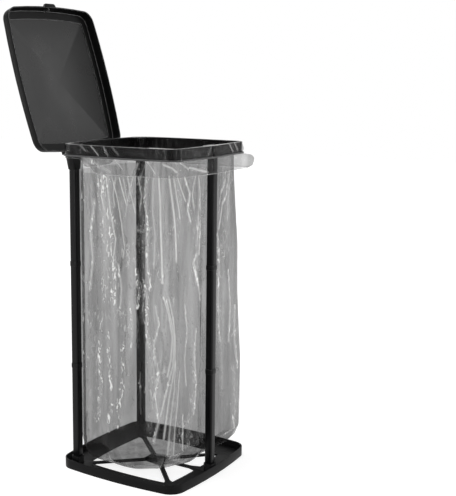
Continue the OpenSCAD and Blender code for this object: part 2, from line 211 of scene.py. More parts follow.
def softened_copy(
    node: bpy.types.Object, width: float, segments: int, angle: float = 28.0
) -> bmesh.types.BMesh:
    """Copies a CAD node and rounds its edges, as a mould does. The rounded faces take number 1.

    Args:
        node: The CAD node, which stays as it is.
        width: Width of the rounding.
        segments: Steps of the rounding.
        angle: Edges sharper than this many degrees are rounded.

    Returns:
        The copy with rounded edges.
    """
    bm = bmesh.new()
    bm.from_mesh(node.data)
    bmesh.ops.remove_doubles(bm, verts=bm.verts[:], dist=0.005 * MM)
    bmesh.ops.dissolve_limit(
        bm, angle_limit=math.radians(0.4), verts=bm.verts[:], edges=bm.edges[:]
    )
    sharp = [
        edge
        for edge in bm.edges
        if len(edge.link_faces) == 2 and edge.calc_face_angle(0.0) > math.radians(angle)
    ]
    rounded = bmesh.ops.bevel(
        bm,
        geom=sharp,
        offset=width,
        offset_type="OFFSET",
        affect="EDGES",
        segments=segments,
        profile=0.5,
        material=-1,
        clamp_overlap=True,
    )
    for face in rounded["faces"]:
        face.material_index = 1
    return bm


def loft_rings(
    bm: bmesh.types.BMesh, rings: Sequence[Sequence[Vector]], closed: bool = False
) -> list[list[bmesh.types.BMVert]]:
    """Draws a skin through rings of points by extruding an edge loop from ring to ring.

    Args:
        bm: The bmesh that takes the skin.
        rings: Rings with equal numbers of points.
        closed: Joins the last ring to the first.

    Returns:
        The vertices of each ring, in the order of its points.
    """
    start = bmesh.ops.create_circle(bm, cap_ends=False, radius=1.0, segments=len(rings[0]))
    loop = list(start["verts"])
    for vert, point in zip(loop, rings[0]):
        vert.co = point
    count = len(loop)
    edges = [bm.edges.get((loop[i], loop[(i + 1) % count])) for i in range(count)]
    rows = [loop]
    for ring in rings[1:]:
        grown = bmesh.ops.extrude_edge_only(bm, edges=edges)["geom"]
        fresh = {item for item in grown if isinstance(item, bmesh.types.BMVert)}
        row = []
        for vert, point in zip(loop, ring):
            twin = next(e.other_vert(vert) for e in vert.link_edges if e.other_vert(vert) in fresh)
            row.append(twin)
        for vert, point in zip(row, ring):
            vert.co = point
        loop = row
        edges = [bm.edges.get((loop[i], loop[(i + 1) % count])) for i in range(count)]
        rows.append(loop)
    if closed:
        first = rows[0]
        first_edges = [bm.edges.get((first[i], first[(i + 1) % count])) for i in range(count)]
        bmesh.ops.bridge_loops(bm, edges=edges + first_edges)
    return rows


# Outlines


@dataclass(frozen=True)
class BowedSquare:
    """Square with bowed sides and round corners, which the base, the rim and the bag follow."""

    half: float
    side_radius: float
    corner_radius: float

    def corner_middle(self) -> float:
        """Distance of a corner's circle from both axes."""
        a = self.side_radius - self.half
        b = self.side_radius - self.corner_radius
        return (-a + math.sqrt(2 * b * b - a * a)) / 2

    def reach(self, turn: float) -> float:
        """Finds how far the outline is from the middle.

        Args:
            turn: Direction in radians from +X.

        Returns:
            The distance in that direction.
        """
        x, y = abs(math.cos(turn)), abs(math.sin(turn))
        x, y = max(x, y), min(x, y)
        a = self.half - self.side_radius
        c = self.corner_middle()
        span = math.hypot(c - a, c)
        touch = Vector((c + self.corner_radius * (c - a) / span, c + self.corner_radius * c / span))
        if y * touch.x < x * touch.y:
            return a * x + math.sqrt(self.side_radius**2 - (a * y) ** 2)
        room = self.corner_radius**2 - (c * (x - y)) ** 2
        return c * (x + y) + math.sqrt(max(0.0, room))


def line_reach(turn: float, start: Point2, end: Point2) -> float:
    """Finds where a ray from the middle meets a line.

    Args:
        turn: The ray's direction in radians from +X.
        start: A point of the line.
        end: Another point of the line.

    Returns:
        The distance along the ray, or a large number where it runs past the line.
    """
    ray = Vector((math.cos(turn), math.sin(turn)))
    way = Vector(end) - Vector(start)
    cross = ray.x * way.y - ray.y * way.x
    if abs(cross) < 1e-9:
        return 1e3
    reach = (start[0] * way.y - start[1] * way.x) / cross
    return reach if reach > 0 else 1e3


@dataclass(frozen=True)
class Crease:
    """A sharp fold in the film, as points of direction in degrees and height in millimetres."""

    path: tuple[Point2, ...]
    # light sets the painted glint along the crease and how far the film stands back there; crinkle sets painted
    # crinkle glints round it.
    light: float = 0.8
    crinkle: float = 0.0
    width: float = 3.4
    degree_length: float = 3.2

    def spans(self, height: float) -> bool:
        """Says whether the crease comes near a height in millimetres."""
        heights = [z for _, z in self.path]
        return min(heights) - self.width < height < max(heights) + self.width

    def nearness(self, side: float, height: float) -> float:
        """Says how close a place on the film is to the crease.

        Args:
            side: Direction in degrees.
            height: Height in millimetres.

        Returns:
            1 on the crease's line, falling to 0 at its width.
        """
        sides = [a for a, _ in self.path]
        margin = self.width / self.degree_length
        if not min(sides) - margin < side < max(sides) + margin:
            return 0.0
        gap = self.width
        place = Vector((side * self.degree_length, height))
        for (a0, z0), (a1, z1) in zip(self.path, self.path[1:]):
            start = Vector((a0 * self.degree_length, z0))
            way = Vector((a1 * self.degree_length, z1)) - start
            share = min(1.0, max(0.0, (place - start).dot(way) / way.length_squared))
            gap = min(gap, (place - start - way * share).length)
        return 1 - gap / self.width

    def turned(self, degrees: float) -> "Crease":
        """Gives the same crease on another side of the bag."""
        path = tuple(((a + degrees) % 360, z) for a, z in self.path)
        if max(a for a, _ in path) - min(a for a, _ in path) > 180:
            path = tuple((a - 360 if a > 180 else a, z) for a, z in path)
        return Crease(path, self.light * 0.8, self.crinkle * 0.8, self.width)


# Finishes


@dataclass(frozen=True)
class MouldedPlastic:
    """Black polypropylene from an injection mould.

    Its spark-eroded mould leaves a fine matt grain, and the melt's flow leaves faint cloudy
    changes of gloss, which the eye reads as satin plastic.
    """

    name: str
    colour: str
    pale_colour: str
    roughness: float
    specular: float
    grain_mm: float
    grain_depth_mm: float

    def build(self) -> bpy.types.Material:
        """Makes the material."""
        material, tree = blank_material(self.name)
        place = add_node(tree, "ShaderNodeTexCoord")
        grain = add_node(
            tree,
            "ShaderNodeTexNoise",
            {"Scale": 1 / (self.grain_mm * MM), "Detail": 2.0, "Roughness": 0.6},
            {"Vector": place.outputs["Object"]},
        )
        clouds = add_node(
            tree,
            "ShaderNodeTexNoise",
            {"Scale": 9.0, "Detail": 3.0, "Roughness": 0.55},
            {"Vector": place.outputs["Object"]},
        )
        gloss = add_node(
            tree,
            "ShaderNodeMapRange",
            {
                "From Min": 0.3,
                "From Max": 0.7,
                "To Min": self.roughness - 0.05,
                "To Max": self.roughness + 0.05,
            },
            {"Value": clouds.outputs["Fac"]},
        )
        tone = add_node(
            tree,
            "ShaderNodeMix",
            {"data_type": "RGBA", 6: srgb(self.colour), 7: srgb(self.pale_colour)},
            {0: clouds.outputs["Fac"]},
        )
        relief = add_node(
            tree,
            "ShaderNodeBump",
            {"Strength": 1.0, "Distance": self.grain_depth_mm * MM},
            {"Height": grain.outputs["Fac"]},
        )
        surface = add_node(
            tree,
            "ShaderNodeBsdfPrincipled",
            {"IOR": 1.49, "Specular IOR Level": self.specular},
            {
                "Base Color": tone.outputs[2],
                "Roughness": gloss.outputs["Result"],
                "Normal": relief.outputs["Normal"],
            },
        )
        add_node(
            tree, "ShaderNodeOutputMaterial", links={"Surface": surface.outputs["BSDF"]}
        )
        return material


@dataclass(frozen=True)
class ExtrudedPlastic:
    """Black polypropylene tube from an extruder.

    The die draws fine lines along the tube, which stretch its highlights lengthwise.
    """

    name: str
    colour: str
    roughness: float
    specular: float
    line_mm: float
    line_depth_mm: float

    def build(self) -> bpy.types.Material:
        """Makes the material."""
        material, tree = blank_material(self.name)
        place = add_node(tree, "ShaderNodeTexCoord")
        stretched = add_node(
            tree,
            "ShaderNodeMapping",
            {"Scale": (1.0, 1.0, 0.012)},
            {"Vector": place.outputs["Object"]},
        )
        lines = add_node(
            tree,
            "ShaderNodeTexNoise",
            {"Scale": 1 / (self.line_mm * MM), "Detail": 2.0, "Roughness": 0.5},
            {"Vector": stretched.outputs["Vector"]},
        )
        gloss = add_node(
            tree,
            "ShaderNodeMapRange",
            {
                "From Min": 0.3,
                "From Max": 0.7,
                "To Min": self.roughness - 0.06,
                "To Max": self.roughness + 0.06,
            },
            {"Value": lines.outputs["Fac"]},
        )
        relief = add_node(
            tree,
            "ShaderNodeBump",
            {"Strength": 1.0, "Distance": self.line_depth_mm * MM},
            {"Height": lines.outputs["Fac"]},
        )
        surface = add_node(
            tree,
            "ShaderNodeBsdfPrincipled",
            {
                "Base Color": srgb(self.colour),
                "IOR": 1.49,
                "Specular IOR Level": self.specular,
            },
            {
                "Roughness": gloss.outputs["Result"],
                "Normal": relief.outputs["Normal"],
            },
        )
        add_node(
            tree, "ShaderNodeOutputMaterial", links={"Surface": surface.outputs["BSDF"]}
        )
        return material


@dataclass(frozen=True)
class BlownFilm:
    """Smoke-grey polyethylene film, blown as a tube.

    It is thin and clear, so it darkens what is behind it, more so where it is seen on edge.
    Where it is creased or crinkled it is painted pale and more opaque, after the film's own attributes "fold"
    and "crinkle": painted glints in place of reflections, which stay put when the view or the light moves.
    """

    name: str
    colour: str
    painted_glint_colour: str
    cover: float
    cuff_cover: float
    edge_cover: float
    band_cover: float
    cuff_height: float
    roughness: float
    crinkle_mm: float
    relief_mm: float

    def build(self) -> bpy.types.Material:
        """Makes the material."""
        material, tree = blank_material(self.name)
        place = add_node(tree, "ShaderNodeTexCoord").outputs["Object"]
        light, height = self.add_creases(tree, place)
        alpha = self.add_cover(tree, place, light)
        # Painted glints: the film is painted pale along its creases and in its crinkled patches.
        tone = add_node(
            tree,
            "ShaderNodeMix",
            {"data_type": "RGBA", 6: srgb(self.colour), 7: srgb(self.painted_glint_colour)},
            {0: light},
        )
        relief = add_node(
            tree,
            "ShaderNodeBump",
            {"Strength": 1.0, "Distance": self.relief_mm * MM},
            {"Height": height},
        )
        surface = add_node(
            tree,
            "ShaderNodeBsdfPrincipled",
            {"Roughness": self.roughness, "IOR": 1.51, "Specular IOR Level": 0.25},
            {"Base Color": tone.outputs[2], "Alpha": alpha, "Normal": relief.outputs["Normal"]},
        )
        add_node(
            tree, "ShaderNodeOutputMaterial", links={"Surface": surface.outputs["BSDF"]}
        )
        return material

    def add_creases(
        self, tree: bpy.types.NodeTree, place: bpy.types.NodeSocket
    ) -> tuple[bpy.types.NodeSocket, bpy.types.NodeSocket]:
        """Adds the painted glints: pale, more opaque colour along the folds and in crinkled patches, with their
        relief.

        Args:
            tree: The material's node tree.
            place: Object coordinates.

        Returns:
            How pale the painted glints make the film, and its relief.
        """
        folds = add_node(tree, "ShaderNodeAttribute", {"attribute_name": "fold"})
        where = add_node(tree, "ShaderNodeAttribute", {"attribute_name": "crinkle"})
        leaning = add_node(
            tree,
            "ShaderNodeMapping",
            {"Rotation": (0.35, 0.3, 0.0), "Scale": (1.0, 1.0, 0.36)},
            {"Vector": place},
        )
        crumple = add_node(
            tree,
            "ShaderNodeTexNoise",
            {
                "Scale": 1 / (self.crinkle_mm * MM),
                "Detail": 2.0,
                "Roughness": 0.5,
                "Distortion": 0.9,
            },
            {"Vector": leaning.outputs["Vector"]},
        )
        glints = add_node(
            tree,
            "ShaderNodeMapRange",
            {"From Min": 0.55, "From Max": 0.64, "To Min": 0.0, "To Max": 1.0},
            {"Value": crumple.outputs["Fac"]},
        )
        gathered = add_node(
            tree,
            "ShaderNodeMath",
            {"operation": "MULTIPLY"},
            {0: glints.outputs["Result"], 1: where.outputs["Fac"]},
        )
        light = add_node(
            tree,
            "ShaderNodeMath",
            {"operation": "ADD", "use_clamp": True},
            {0: folds.outputs["Fac"], 1: gathered.outputs["Value"]},
        )
        height = add_node(
            tree,
            "ShaderNodeMath",
            {"operation": "MULTIPLY_ADD", 1: 0.5},
            {0: crumple.outputs["Fac"], 2: light.outputs["Value"]},
        )
        return light.outputs["Value"], height.outputs["Value"]

    def add_cover(
        self,
        tree: bpy.types.NodeTree,
        place: bpy.types.NodeSocket,
        light: bpy.types.NodeSocket,
    ) -> bpy.types.NodeSocket:
        """Adds how much the film hides what is behind it.

        Args:
            tree: The material's node tree.
            place: Object coordinates.
            light: How pale the painted glints make the film.

        Returns:
            The film's cover.
        """
        split = add_node(tree, "ShaderNodeSeparateXYZ", links={"Vector": place})
        cover = add_node(
            tree,
            "ShaderNodeMapRange",
            {
                "From Min": self.cuff_height - 0.001,
                "From Max": self.cuff_height + 0.001,
                "To Min": self.cover,
                "To Max": self.cuff_cover,
            },
            {"Value": split.outputs["Z"]},
        )
        long = add_node(
            tree, "ShaderNodeMapping", {"Scale": (1.0, 1.0, 0.08)}, {"Vector": place}
        )
        bands = add_node(
            tree,
            "ShaderNodeTexNoise",
            {"Scale": 34.0, "Detail": 2.0, "Distortion": 0.4},
            {"Vector": long.outputs["Vector"]},
        )
        banded = add_node(
            tree,
            "ShaderNodeMapRange",
            {
                "From Min": 0.35,
                "From Max": 0.65,
                "To Min": -self.band_cover,
                "To Max": self.band_cover,
            },
            {"Value": bands.outputs["Fac"]},
        )
        facing = add_node(tree, "ShaderNodeLayerWeight", {"Blend": 0.35})
        edge = add_node(
            tree,
            "ShaderNodeMath",
            {"operation": "MULTIPLY_ADD", 1: self.edge_cover},
            {0: facing.outputs["Facing"], 2: banded.outputs["Result"]},
        )
        body = add_node(
            tree,
            "ShaderNodeMath",
            {"operation": "ADD"},
            {0: cover.outputs["Result"], 1: edge.outputs["Value"]},
        )
        # The painted glints make the film more opaque as well as pale.
        alpha = add_node(
            tree,
            "ShaderNodeMath",
            {"operation": "MULTIPLY_ADD", "use_clamp": True, 1: 0.4},
            {0: light, 2: body.outputs["Value"]},
        )
        return alpha.outputs["Value"]


@dataclass(frozen=True)
class BraidedCover:
    """Black polyester yarn, braided over a rubber core.

    Its crossing strands are painted paler on their crowns, a painted highlight, and keep the yarn's black in
    between.
    """

    name: str
    colour: str
    crown_highlight_colour: str
    roughness: float
    strand_rows: float
    strand_depth_mm: float

    def build(self) -> bpy.types.Material:
        """Makes the material, whose braid follows the cord's own UV map."""
        material, tree = blank_material(self.name)
        place = add_node(tree, "ShaderNodeUVMap", {"uv_map": "braid"})
        waves = []
        for lean in (1.0, -1.0):
            turned = add_node(
                tree,
                "ShaderNodeMapping",
                {"Scale": (1.0, lean, 1.0)},
                {"Vector": place.outputs["UV"]},
            )
            waves.append(
                add_node(
                    tree,
                    "ShaderNodeTexWave",
                    {
                        "wave_type": "BANDS",
                        "bands_direction": "DIAGONAL",
                        "Scale": self.strand_rows,
                        "Distortion": 0.0,
                    },
                    {"Vector": turned.outputs["Vector"]},
                )
            )
        crown = add_node(
            tree,
            "ShaderNodeMath",
            {"operation": "MAXIMUM"},
            {0: waves[0].outputs["Fac"], 1: waves[1].outputs["Fac"]},
        )
        # Painted highlight: the strands' crowns are painted paler.
        tone = add_node(
            tree,
            "ShaderNodeMix",
            {"data_type": "RGBA", 6: srgb(self.colour), 7: srgb(self.crown_highlight_colour)},
            {0: crown.outputs["Value"]},
        )
        relief = add_node(
            tree,
            "ShaderNodeBump",
            {"Strength": 1.0, "Distance": self.strand_depth_mm * MM},
            {"Height": crown.outputs["Value"]},
        )
        surface = add_node(
            tree,
            "ShaderNodeBsdfPrincipled",
            {"Roughness": self.roughness, "IOR": 1.5, "Sheen Weight": 0.3},
            {"Base Color": tone.outputs[2], "Normal": relief.outputs["Normal"]},
        )
        add_node(
            tree, "ShaderNodeOutputMaterial", links={"Surface": surface.outputs["BSDF"]}
        )
        return material


@dataclass(frozen=True)
class PlainMetal:
    """Bare metal that is drawn or turned, with fine lines across the light."""

    name: str
    colour: str
    roughness: float
    line_mm: float
    line_depth_mm: float

    def build(self) -> bpy.types.Material:
        """Makes the material."""
        material, tree = blank_material(self.name)
        place = add_node(tree, "ShaderNodeTexCoord")
        stretched = add_node(
            tree,
            "ShaderNodeMapping",
            {"Scale": (1.0, 0.1, 0.1)},
            {"Vector": place.outputs["Object"]},
        )
        lines = add_node(
            tree,
            "ShaderNodeTexNoise",
            {"Scale": 1 / (self.line_mm * MM), "Detail": 2.0},
            {"Vector": stretched.outputs["Vector"]},
        )
        gloss = add_node(
            tree,
            "ShaderNodeMapRange",
            {"To Min": self.roughness - 0.08, "To Max": self.roughness + 0.08},
            {"Value": lines.outputs["Fac"]},
        )
        relief = add_node(
            tree,
            "ShaderNodeBump",
            {"Strength": 1.0, "Distance": self.line_depth_mm * MM},
            {"Height": lines.outputs["Fac"]},
        )
        surface = add_node(
            tree,
            "ShaderNodeBsdfPrincipled",
            {"Base Color": srgb(self.colour), "Metallic": 1.0},
            {"Roughness": gloss.outputs["Result"], "Normal": relief.outputs["Normal"]},
        )
        add_node(
            tree, "ShaderNodeOutputMaterial", links={"Surface": surface.outputs["BSDF"]}
        )
        return material


# Sub-assemblies


@dataclass
class Mouldings:
    """The rigid pieces, which keep their CAD form and get their moulded edges, painted paler as highlights."""

    edge: float = 1.0 * MM
    lid_edge: float = 1.1 * MM
    post_edge: float = 0.35 * MM
    pin_edge: float = 0.35 * MM
    moulded: MouldedPlastic = MouldedPlastic(
        "polypropylene_moulded_satin", "#090909", "#0d0d0e", 0.42, 0.10, 0.9, 0.012
    )
    # Painted highlight: a paler colour on the rounded edges of the base, rim, brackets and posts.
    edge_highlight_paint: MouldedPlastic = MouldedPlastic(
        "polypropylene_edge_painted_highlight", "#343434", "#3a3a3b", 0.3, 0.6, 0.9, 0.004
    )
    lid_finish: MouldedPlastic = MouldedPlastic(
        "polypropylene_moulded_lid", "#060606", "#090909", 0.4, 0.08, 0.9, 0.008
    )
    # Painted highlight on the lid's rounded edges, paler still.
    lid_edges_highlight_paint: MouldedPlastic = MouldedPlastic(
        "polypropylene_lid_edge_painted_highlight", "#8a8a8a", "#929293", 0.28, 0.7, 0.9, 0.004
    )
    # The panel's facets get a copy of the lid's plastic painted slightly paler, as painted light, and glossier,
    # so it catches a lamp of its own.
    panel_lighter_paint: MouldedPlastic = MouldedPlastic(
        "polypropylene_panel_painted_lighter", "#0b0b0b", "#0f0f0f", 0.3, 0.26, 0.9, 0.002
    )
    panel_middle: tuple[float, float, float] = (0.0, 304.0 * MM, 1003.7 * MM)
    panel_lean: float = math.radians(16.4)
    panel_half: Point2 = (160.0 * MM, 172.0 * MM)
    extruded: ExtrudedPlastic = ExtrudedPlastic(
        "polypropylene_extruded_tube", "#0e0e0f", 0.3, 0.14, 1.6, 0.01
    )
    steel: PlainMetal = PlainMetal("zinc_plated_steel", "#b4b6b9", 0.32, 0.5, 0.004)

    def dress(self, nodes: dict[str, bpy.types.Object]) -> None:
        """Makes each rigid piece from its CAD node.

        Args:
            nodes: The CAD nodes by name.
        """
        edge_highlight_paint = self.edge_highlight_paint.build()
        moulded = [self.moulded.build(), edge_highlight_paint]
        lid = [self.lid_finish.build(), self.lid_edges_highlight_paint.build(), self.panel_lighter_paint.build()]
        extruded = [self.extruded.build(), edge_highlight_paint]
        steel = [self.steel.build()] * 2
        for name in ("base_frame", "bag_rim", "hinge_bracket_left", "hinge_bracket_right"):
            self.finish(nodes[name], moulded, Body.STAND, self.edge)
        for name in sorted(nodes):
            if "_post_" in name:
                self.finish(nodes[name], extruded, Body.STAND, self.post_edge)
        for name in ("hinge_pin_left", "hinge_pin_right"):
            self.finish(nodes[name], steel, Body.STAND, self.pin_edge)
        self.finish(nodes["lid"], lid, Body.LID, self.lid_edge)

    def finish(
        self,
        node: bpy.types.Object,
        materials: Sequence[bpy.types.Material],
        body: Body,
        edge: float,
    ) -> bpy.types.Object:
        """materials: The piece's material, and the painted highlight of its rounded edges.
            body: The body that carries it.
            edge: Width of the rounding.

        Returns:
            The piece that stands for the node.
        """
        bm = softened_copy(node, edge, 2)
        if len(materials) > 2:
            for face in self.panel_faces(bm):
                face.material_index = 2
        return as_piece(bm, f"{node.name}_moulding", materials, body, [node.name], 32.0)

    def panel_faces(self, bm: bmesh.types.BMesh) -> list[bmesh.types.BMFace]:
        """Finds the four shallow facets of the lid's middle, but not the flat border round them."""
        out = Vector((0.0, -math.cos(self.panel_lean), math.sin(self.panel_lean)))
        up = Vector((0.0, math.sin(self.panel_lean), math.cos(self.panel_lean)))
        found = []
        for face in bm.faces:
            way = face.calc_center_median() - Vector(self.panel_middle)
            inside = abs(way.x) < self.panel_half[0] and abs(way.dot(up)) < self.panel_half[1]
            if inside and 0.998 < face.normal.dot(out) < 0.9999 and face.material_index == 0:
                found.append(face)
        return found


@dataclass
class FilmBag:
    """The bag of thin film, which hangs in the rim and is turned down over it."""

    stations: int = 560
    rim: BowedSquare = BowedSquare(176.5 * MM, 1805 * MM, 31 * MM)
    room: BowedSquare = BowedSquare(171.4 * MM, 1786 * MM, 26 * MM)
    boss_half: float = 12.45 * MM
    boss_front: float = 183.45 * MM
    rear_notch: Point2 = (131.0 * MM, 131.0 * MM)
    rear_notch_end: Point2 = (171.8 * MM, 113.0 * MM)
    front_notch: Point2 = (13.8 * MM, -156.0 * MM)
    front_notch_end: Point2 = (42.0 * MM, -171.4 * MM)
    top: float = 850.7 * MM
    rim_bottom: float = 820 * MM
    band_height: float = 822.3 * MM
    hem: float = 781.5 * MM
    floor: float = 6.9 * MM
    slot_half: float = 12.2 * MM
    slot_x: float = 62 * MM
    slot_y: float = 171.3 * MM
    slot_z: float = 825.4 * MM
    bottom_levels: tuple[float, ...] = (7.0, 14.0, 24.0, 40.0, 60.0, 85.0, 110.0)
    bottom_rows: tuple[tuple[float, tuple[float, ...]], ...] = (
        (0.0, (104, 134, 149, 161, 168, 173, 200)),
        (45.0, (110, 148, 172, 188, 200, 240, 260)),
        (90.0, (104, 134, 149, 161, 168, 173, 200)),
        (135.0, (110, 148, 172, 188, 200, 240, 260)),
        (160.0, (92, 122, 142, 156, 167, 180, 200)),
        (183.0, (85, 118, 138, 152, 162, 170, 200)),
        (214.0, (72, 104, 128, 152, 170, 190, 230)),
        (225.0, (70, 101, 125, 150, 174, 205, 260)),
        (247.0, (68, 95, 118, 136, 150, 166, 200)),
        (270.0, (75, 104, 122, 138, 149, 157, 200)),
        (295.0, (80, 98, 112, 136, 158, 176, 230)),
        (315.0, (100, 136, 166, 199, 222, 234, 260)),
        (340.0, (104, 134, 151, 168, 178, 186, 200)),
        (360.0, (104, 134, 149, 161, 168, 173, 200)),
    )
    ear_turn: float = math.radians(-45.0)
    film: BlownFilm = BlownFilm(
        "polyethylene_blown_film",
        "#100f0f",
        # Painted glint colour of the creases.
        "#f0f0ef",
        cover=0.47,
        cuff_cover=0.28,
        edge_cover=0.25,
        band_cover=0.07,
        cuff_height=0.7815,
        roughness=0.14,
        crinkle_mm=7.0,
        relief_mm=1.6,
    )
    # Creases in view: painted glint lines and crinkled patches over shallow real folds.
    wall_creases: tuple[Crease, ...] = (
        Crease(((167.3, 772), (169.1, 718), (175, 657), (172.8, 594), (177.8, 533), (175.5, 468)), 0.3, 1.0, 17),
        Crease(((160.5, 771), (162.2, 704), (163.8, 617), (162.6, 540), (166.3, 465)), 0.2, 0.8, 11),
        Crease(((170.0, 776), (172.0, 705), (178.5, 622), (176.2, 560)), 0.9),
        Crease(((165.0, 776), (164.0, 730), (167.0, 690)), 0.8),
        Crease(((179.5, 776), (176.0, 735), (177.0, 705)), 0.7),
        Crease(((187.0, 776), (190.5, 720), (189.0, 680)), 0.6),
        Crease(((201.0, 778), (203.5, 735), (202.0, 700)), 0.7),
        Crease(((212.5, 780), (212.0, 700), (214.0, 640), (213.0, 560)), 0.6),
        Crease(((229.0, 785), (233.0, 750), (237.0, 720)), 0.8),
        Crease(((246.0, 780), (243.0, 740), (245.5, 700)), 0.7),
        Crease(((251.0, 778), (254.5, 730), (252.0, 690), (250.0, 620)), 0.8),
        Crease(((294.0, 780), (290.0, 735), (287.5, 700)), 0.8),
        Crease(((307.0, 790), (300.0, 720), (296.0, 650)), 0.7),
        Crease(((181.0, 560), (184.0, 500), (182.5, 450)), 0.6, 0.5, 5),
        Crease(((192.0, 470), (194.5, 400), (193.0, 350)), 0.5, 0.6, 5),
        Crease(((214.0, 470), (216.5, 420), (213.0, 370), (214.0, 320)), 0.6, 0.6, 5),
        Crease(((236.0, 470), (239.0, 400), (236.5, 330), (238.0, 260)), 0.6, 0.4, 4),
        Crease(((248.0, 400), (246.0, 330), (249.0, 260), (246.0, 180)), 0.6, 0.8, 6),
        Crease(((216.0, 300), (214.0, 240), (216.5, 180), (213.0, 120)), 0.6, 0.6, 5),
        Crease(((231.0, 300), (229.5, 230), (227.0, 160), (225.5, 70)), 0.6),
        Crease(((299.0, 520), (302.0, 430), (300.0, 330)), 0.6, 0.5, 5),
        Crease(((308.0, 420), (306.0, 330), (309.0, 250)), 0.5, 0.6, 6),
        Crease(((182.6, 777), (186.5, 741), (189.5, 712)), 0.9),
        Crease(((175.4, 773), (181.4, 720), (185.3, 660), (188.2, 599)), 0.8),
        Crease(((191.5, 779), (194.3, 735), (198.0, 692)), 0.7),
        Crease(((196.3, 779), (192.4, 735), (190.4, 710)), 0.7),
        Crease(((207.3, 779), (205.7, 726), (208.8, 654), (208.0, 576), (210.3, 507)), 0.5, 0.8, 6),
        Crease(((216.5, 786), (217.4, 729), (217.7, 670), (218.3, 609), (219.0, 524)), 0.95, 0.0, 4),
        Crease(((223.2, 786), (224.7, 739), (226.6, 685), (227.6, 638), (228.0, 579)), 0.95, 0.0, 4),
        Crease(((226.1, 787), (228.7, 734), (230.7, 700), (231.5, 679)), 0.8),
        Crease(((236.0, 781), (240.8, 736), (238.5, 700), (242.2, 669)), 0.8, 0.6, 5),
        Crease(((259.1, 774), (256.2, 718), (254.9, 657), (252.2, 585)), 0.9, 0.5, 5),
        Crease(((249.3, 587), (245.1, 569), (251.0, 508), (254.3, 468)), 0.7, 0.8, 7),
        Crease(((221.3, 489), (223.9, 441), (226.2, 394), (225.5, 326), (223.0, 286), (217.5, 189)), 0.75),
        Crease(((222.9, 490), (225.4, 443), (227.1, 390), (226.9, 327), (223.0, 240), (219.7, 135)), 0.75),
        Crease(((219.6, 495), (222.9, 446), (225.0, 393), (224.0, 337), (221.9, 295)), 0.8),
        Crease(((227.4, 330), (226.5, 259), (224.1, 191), (222.0, 90)), 0.6),
        Crease(((234.6, 188), (234.6, 123), (234.7, 65)), 0.7),
        Crease(((155.8, 715), (152.9, 638), (154.4, 563), (151.5, 484)), 0.6, 0.5, 5),
        Crease(((198.7, 550), (201.4, 503), (199.5, 460)), 0.3, 1.0, 9),
        Crease(((205.6, 518), (208.0, 481), (207.2, 406), (209.5, 357)), 0.5, 1.0, 7),
        Crease(((296.7, 744), (291.1, 694), (286.8, 632)), 0.8, 0.4, 4),
        Crease(((285.2, 627), (287.3, 549), (286.3, 450), (288.7, 342)), 0.5, 0.9, 7),
        Crease(((304.7, 741), (300.0, 665)), 0.7),
        Crease(((312.5, 154), (313.9, 96), (310.9, 67)), 0.8, 0.5, 5),
        Crease(((304.6, 120), (307.3, 83), (303.6, 71)), 0.7, 0.5, 5),
        Crease(((184.7, 357), (186.6, 280), (181.2, 212), (177.8, 144)), 0.15, 1.0, 12),
        Crease(((162.1, 412), (159.0, 332), (160.6, 241), (156.5, 145)), 0.2, 0.9, 10),
        Crease(((170.1, 389), (171.9, 299), (173.7, 208), (169.3, 126)), 0.2, 0.9, 9),
    )
    # Wide soft folds, painted faintly pale as soft sheen bands.
    soft_folds: tuple[Crease, ...] = (
        Crease(((164.0, 778), (166.0, 690), (171.0, 600), (170.0, 480)), 0.28, 0.2, 20),
        Crease(((180.0, 778), (187.0, 690), (190.0, 560)), 0.16, 0.0, 14),
        Crease(((203.0, 778), (204.0, 690), (206.0, 560), (205.0, 430)), 0.2, 0.2, 12),
        Crease(((219.5, 778), (221.0, 690), (222.0, 560)), 0.2, 0.0, 10),
        Crease(((230.0, 778), (233.0, 700), (236.0, 580), (238.0, 430)), 0.15, 0.0, 12),
        Crease(((254.0, 778), (252.0, 660), (249.0, 520)), 0.22, 0.3, 11),
        Crease(((291.0, 600), (289.0, 480), (292.0, 340), (290.0, 200)), 0.16, 0.2, 14),
        Crease(((300.0, 760), (295.0, 650), (293.0, 560)), 0.2, 0.2, 12),
        Crease(((188.0, 470), (192.0, 360), (188.0, 250), (183.0, 150)), 0.14, 0.1, 18),
        Crease(((226.0, 480), (230.0, 400), (229.0, 300), (226.0, 190), (224.0, 90)), 0.2, 0.1, 14),
        Crease(((243.0, 450), (246.0, 330), (243.0, 210), (240.0, 80)), 0.14, 0.3, 12),
        Crease(((210.0, 330), (213.0, 240), (209.0, 150)), 0.14, 0.3, 12),
        Crease(((304.0, 260), (308.0, 170), (306.0, 90)), 0.2, 0.3, 12),
        Crease(((152.0, 420), (155.0, 300), (151.0, 160)), 0.14, 0.2, 14),
    )
